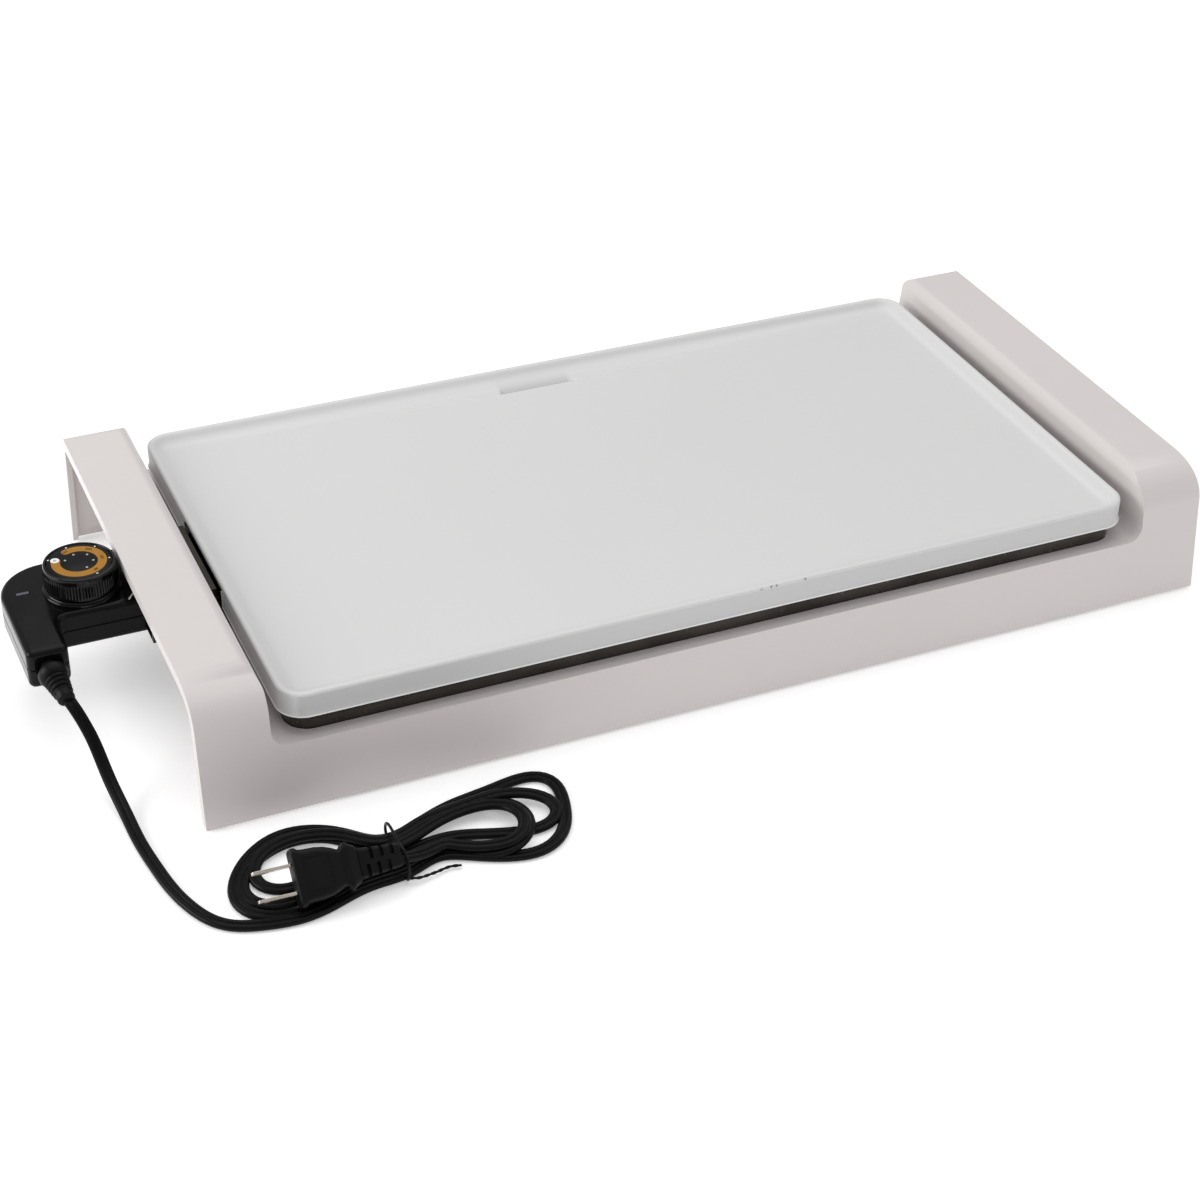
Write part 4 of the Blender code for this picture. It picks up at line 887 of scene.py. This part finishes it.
# ---- plug and tie ----
TIE_HUG = ((-0.1676, 0.0014), (-0.1672, 0.0045), (-0.1695, 0.0080), (-0.1745, 0.0105), (-0.1820, 0.0118),
           (-0.1900, 0.0128), (-0.1955, 0.0140), (-0.2000, 0.0147), (-0.2040, 0.0130), (-0.2056, 0.0090),
           (-0.2050, 0.0040), (-0.2030, 0.0014), (-0.2000, 0.0008), (-0.1860, 0.0008), (-0.1710, 0.0008))
TIE_TAIL = ((-0.1690, -0.2052, 0.0040), (-0.1640, -0.2056, 0.0030), (-0.1560, -0.2040, 0.0022),
            (-0.1487, -0.2022, 0.0017), (-0.1432, -0.2032, 0.0017))


def plug_section(x, half_w, half_t, round_by=0.45):
    radius = min(half_w, half_t) * round_by
    return [tuple(PLUG_PLACE @ Vector((x, y, z)))
            for y, z in rounded_rect(0, 0, half_w, half_t, radius, 6)]


def cord_piece(name, mesh, material, slot, *nodes):
    piece = place(name, mesh, material)
    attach(piece, "base")
    if nodes:
        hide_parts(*nodes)
    return piece


def in_plug(mesh):
    mesh.transform(PLUG_PLACE)
    return mesh


def make_plug(m):
    outline = ((0.0, 0.0127, 0.0054), (0.0006, 0.0134, 0.0060), (0.0022, 0.0134, 0.0061),
               (0.0036, 0.0123, 0.0062), (0.0060, 0.0120, 0.0063), (0.0110, 0.0118, 0.0063),
               (0.0150, 0.0111, 0.0062), (0.0185, 0.0098, 0.0060), (0.0208, 0.0086, 0.0055),
               (0.0220, 0.0086, 0.0055), (0.0238, 0.0108, 0.0060), (0.0250, 0.0111, 0.0060),
               (0.0260, 0.0098, 0.0057), (0.0282, 0.0086, 0.0052), (0.0290, 0.0077, 0.0047))
    body = cord_piece("plug_shell", loft([plug_section(*s) for s in outline], 50), m["rubber"],
                      "black_plastic", "plug_body")
    cuts = []
    for side in (-1, 1):
        panel = in_plug(block(0.0045, 0.0165, -0.0078, 0.0078, side * 0.00595, side * 0.0090))
        cuts.append(("DIFFERENCE", panel))
    shaped(body, cuts, 40)
    relief = cord_piece("plug_relief", loft([plug_section(*s) for s in (
        (0.0293, 0.0066, 0.0038), (0.0300, 0.0069, 0.0041), (0.0360, 0.0064, 0.0039),
        (0.0430, 0.0057, 0.0035), (0.0478, 0.0053, 0.0033), (0.0490, 0.0048, 0.0028))], 50), m["rubber"],
        "rubber", "plug_strain_relief")
    slots = []
    for i in range(3):
        for side in (-1, 1):
            x = 0.0322 + 0.0048 * i + (0.0024 if side > 0 else 0.0)
            y0, y1 = sorted((side * 0.0011, side * 0.0200))
            slots.append(("DIFFERENCE", in_plug(block(x, x + 0.0017, y0, y1, 0.0012, 0.0200))))
            slots.append(("DIFFERENCE", in_plug(block(x, x + 0.0017, y0, y1, -0.0200, -0.0012))))
    shaped(relief, slots, 40)
    for i, side in enumerate((-1, 1), 1):
        y = side * 0.00635
        tip = [(-0.0003, -0.0031), (-0.0003, 0.0031), (-0.0160, 0.0031), (-0.0174, 0.0022),
               (-0.0178, 0.0010), (-0.0178, -0.0010), (-0.0174, -0.0022), (-0.0160, -0.0031)]
        blade = cord_piece("blade_%d" % i, in_plug(prism(tip, y - 0.00075, y + 0.00075, "Y")),
                           m["nickel"], "nickel", "plug_blade_%d" % i)
        hole = in_plug(rod((-0.0138, y - 0.01, 0), (-0.0138, y + 0.01, 0), 0.0018))
        shaped(blade, [("BEVEL", (0.00022, 2)), ("DIFFERENCE", hole)], 34)


def make_tie(m):
    """A thin wire tie round the middle of the hank, its twisted end lying in front."""
    points = [Vector((-0.1672 + 0.05 * (y + 0.1672), y, z)) for y, z in TIE_HUG]
    loop = even(catmull(points[-2:] + points + points[:2], 8), 0.0008)
    once_round = loop[:round(len(loop) * len(TIE_HUG) / (len(TIE_HUG) + 4)) + 6]
    cord_piece("wire_tie", loft(round_rings(once_round, 0.00070, 0.00070, 0.0), 60), m["rubber"],
               "cord_pvc", "hank_tie")
    tail = even(catmull([Vector(p) for p in TIE_TAIL]), 0.0006)
    cord_piece("tie_tail", loft(round_rings(tail, 0.0008, 0.00055, 0.5), 60), m["rubber"], "cord_pvc")


def round_rings(line, wide, thick, twist):
    """Rings of an oval section along a line, turned a little further at each ring."""
    rings = []
    for i, point in enumerate(line):
        ahead = (line[min(i + 1, len(line) - 1)] - line[max(i - 1, 0)]).normalized()
        side = Vector((1, 0, 0)) if abs(ahead.x) < 0.7 else Vector((0, 0, 1))
        side = side.cross(ahead).normalized()
        through = ahead.cross(side)
        turn = i * twist
        ring = []
        for k in range(12):
            a = math.tau * k / 12
            u, v = wide * math.cos(a), thick * math.sin(a)
            ring.append(point + side * (u * math.cos(turn) - v * math.sin(turn))
                        + through * (u * math.sin(turn) + v * math.cos(turn)))
        rings.append(ring)
    return rings


# ---- carried-over CAD nodes ----
def dress_nodes(m):
    finishes = (("pan", ("heat_pan",)), ("hood", ("terminal_hood",)), ("foot", ("foot_",)),
                ("steel", ("pan_screw", "hood_screw", "controller_screw", "plate_support", "heater_stand",
                           "knob_shaft", "probe_guide", "thermostat_frame", "thermostat_probe")),
                ("sheath", ("heater_element",)), ("steatite", ("terminal_bush", "blade_stack")),
                ("nickel", ("terminal_pin", "bimetal_blade")),
                ("brass", ("receptacle_contact", "switch_blade")),
                ("lens", ("pilot_",)), ("black", ("receptacle_block", "cord_clamp")))
    for name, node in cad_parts.items():
        for finish, starts in finishes:
            if name.startswith(starts):
                for slot in node.material_slots:
                    slot.material = m[finish]


# ---- floor and light ----
LIGHTS = (    # name, position, target, size, power
    ("key", (0.35, 0.45, 1.9), (0.05, 0.0, 0.0), (2.4, 2.4), 20.5),
    ("front_fill", (1.3, -1.6, 0.9), (0.05, 0.0, 0.03), (1.4, 1.0), 3.6),
    ("left_fill", (-1.5, 0.25, 0.60), (-0.25, 0.0, 0.0), (1.0, 0.8), 14.0),
)
WORLD_STRENGTH = 0.50
PAPER_GLOW = 0.30


def area_light(name, position, target, size, power):
    data = bpy.data.lights.new(name, "AREA")
    data.shape = "RECTANGLE"
    data.size, data.size_y = size
    data.energy = power
    light = bpy.data.objects.new(name, data)
    SCENE.collection.objects.link(light)
    turn = (Vector(target) - Vector(position)).to_track_quat("-Z", "Y").to_matrix().to_4x4()
    light.matrix_world = Matrix.Translation(position) @ turn


def make_stage():
    bm = bmesh.new()
    bmesh.ops.create_grid(bm, x_segments=8, y_segments=8, size=4.0)
    paper = surface("floor_paper", (0.93, 0.93, 0.93), (0.94, 0.94, 0.94), 0.8, 0.03, 3.0, 300.0, 0.00002,
                    0.1, specular=0.1)
    paper.shader.inputs["Emission Color"].default_value = (1.0, 1.0, 1.0, 1.0)
    paper.shader.inputs["Emission Strength"].default_value = PAPER_GLOW
    floor = place("floor", mesh_of(bm), paper.material)
    world = bpy.data.worlds.new("studio")
    world.use_nodes = True
    world.node_tree.nodes["Background"].inputs["Color"].default_value = (1.0, 1.0, 1.0, 1.0)
    world.node_tree.nodes["Background"].inputs["Strength"].default_value = WORLD_STRENGTH
    SCENE.world = world
    for light in LIGHTS:
        area_light(*light)


def main():
    make_camera()
    materials = make_materials()
    cord, line = make_cord(materials)
    make_plug(materials)
    make_tie(materials)
    make_guard(materials)
    make_plate(materials)
    make_controller(materials)
    make_boot(materials)
    make_knob(materials)
    dress_nodes(materials)
    make_stage()
    bpy.context.view_layer.update()


main()
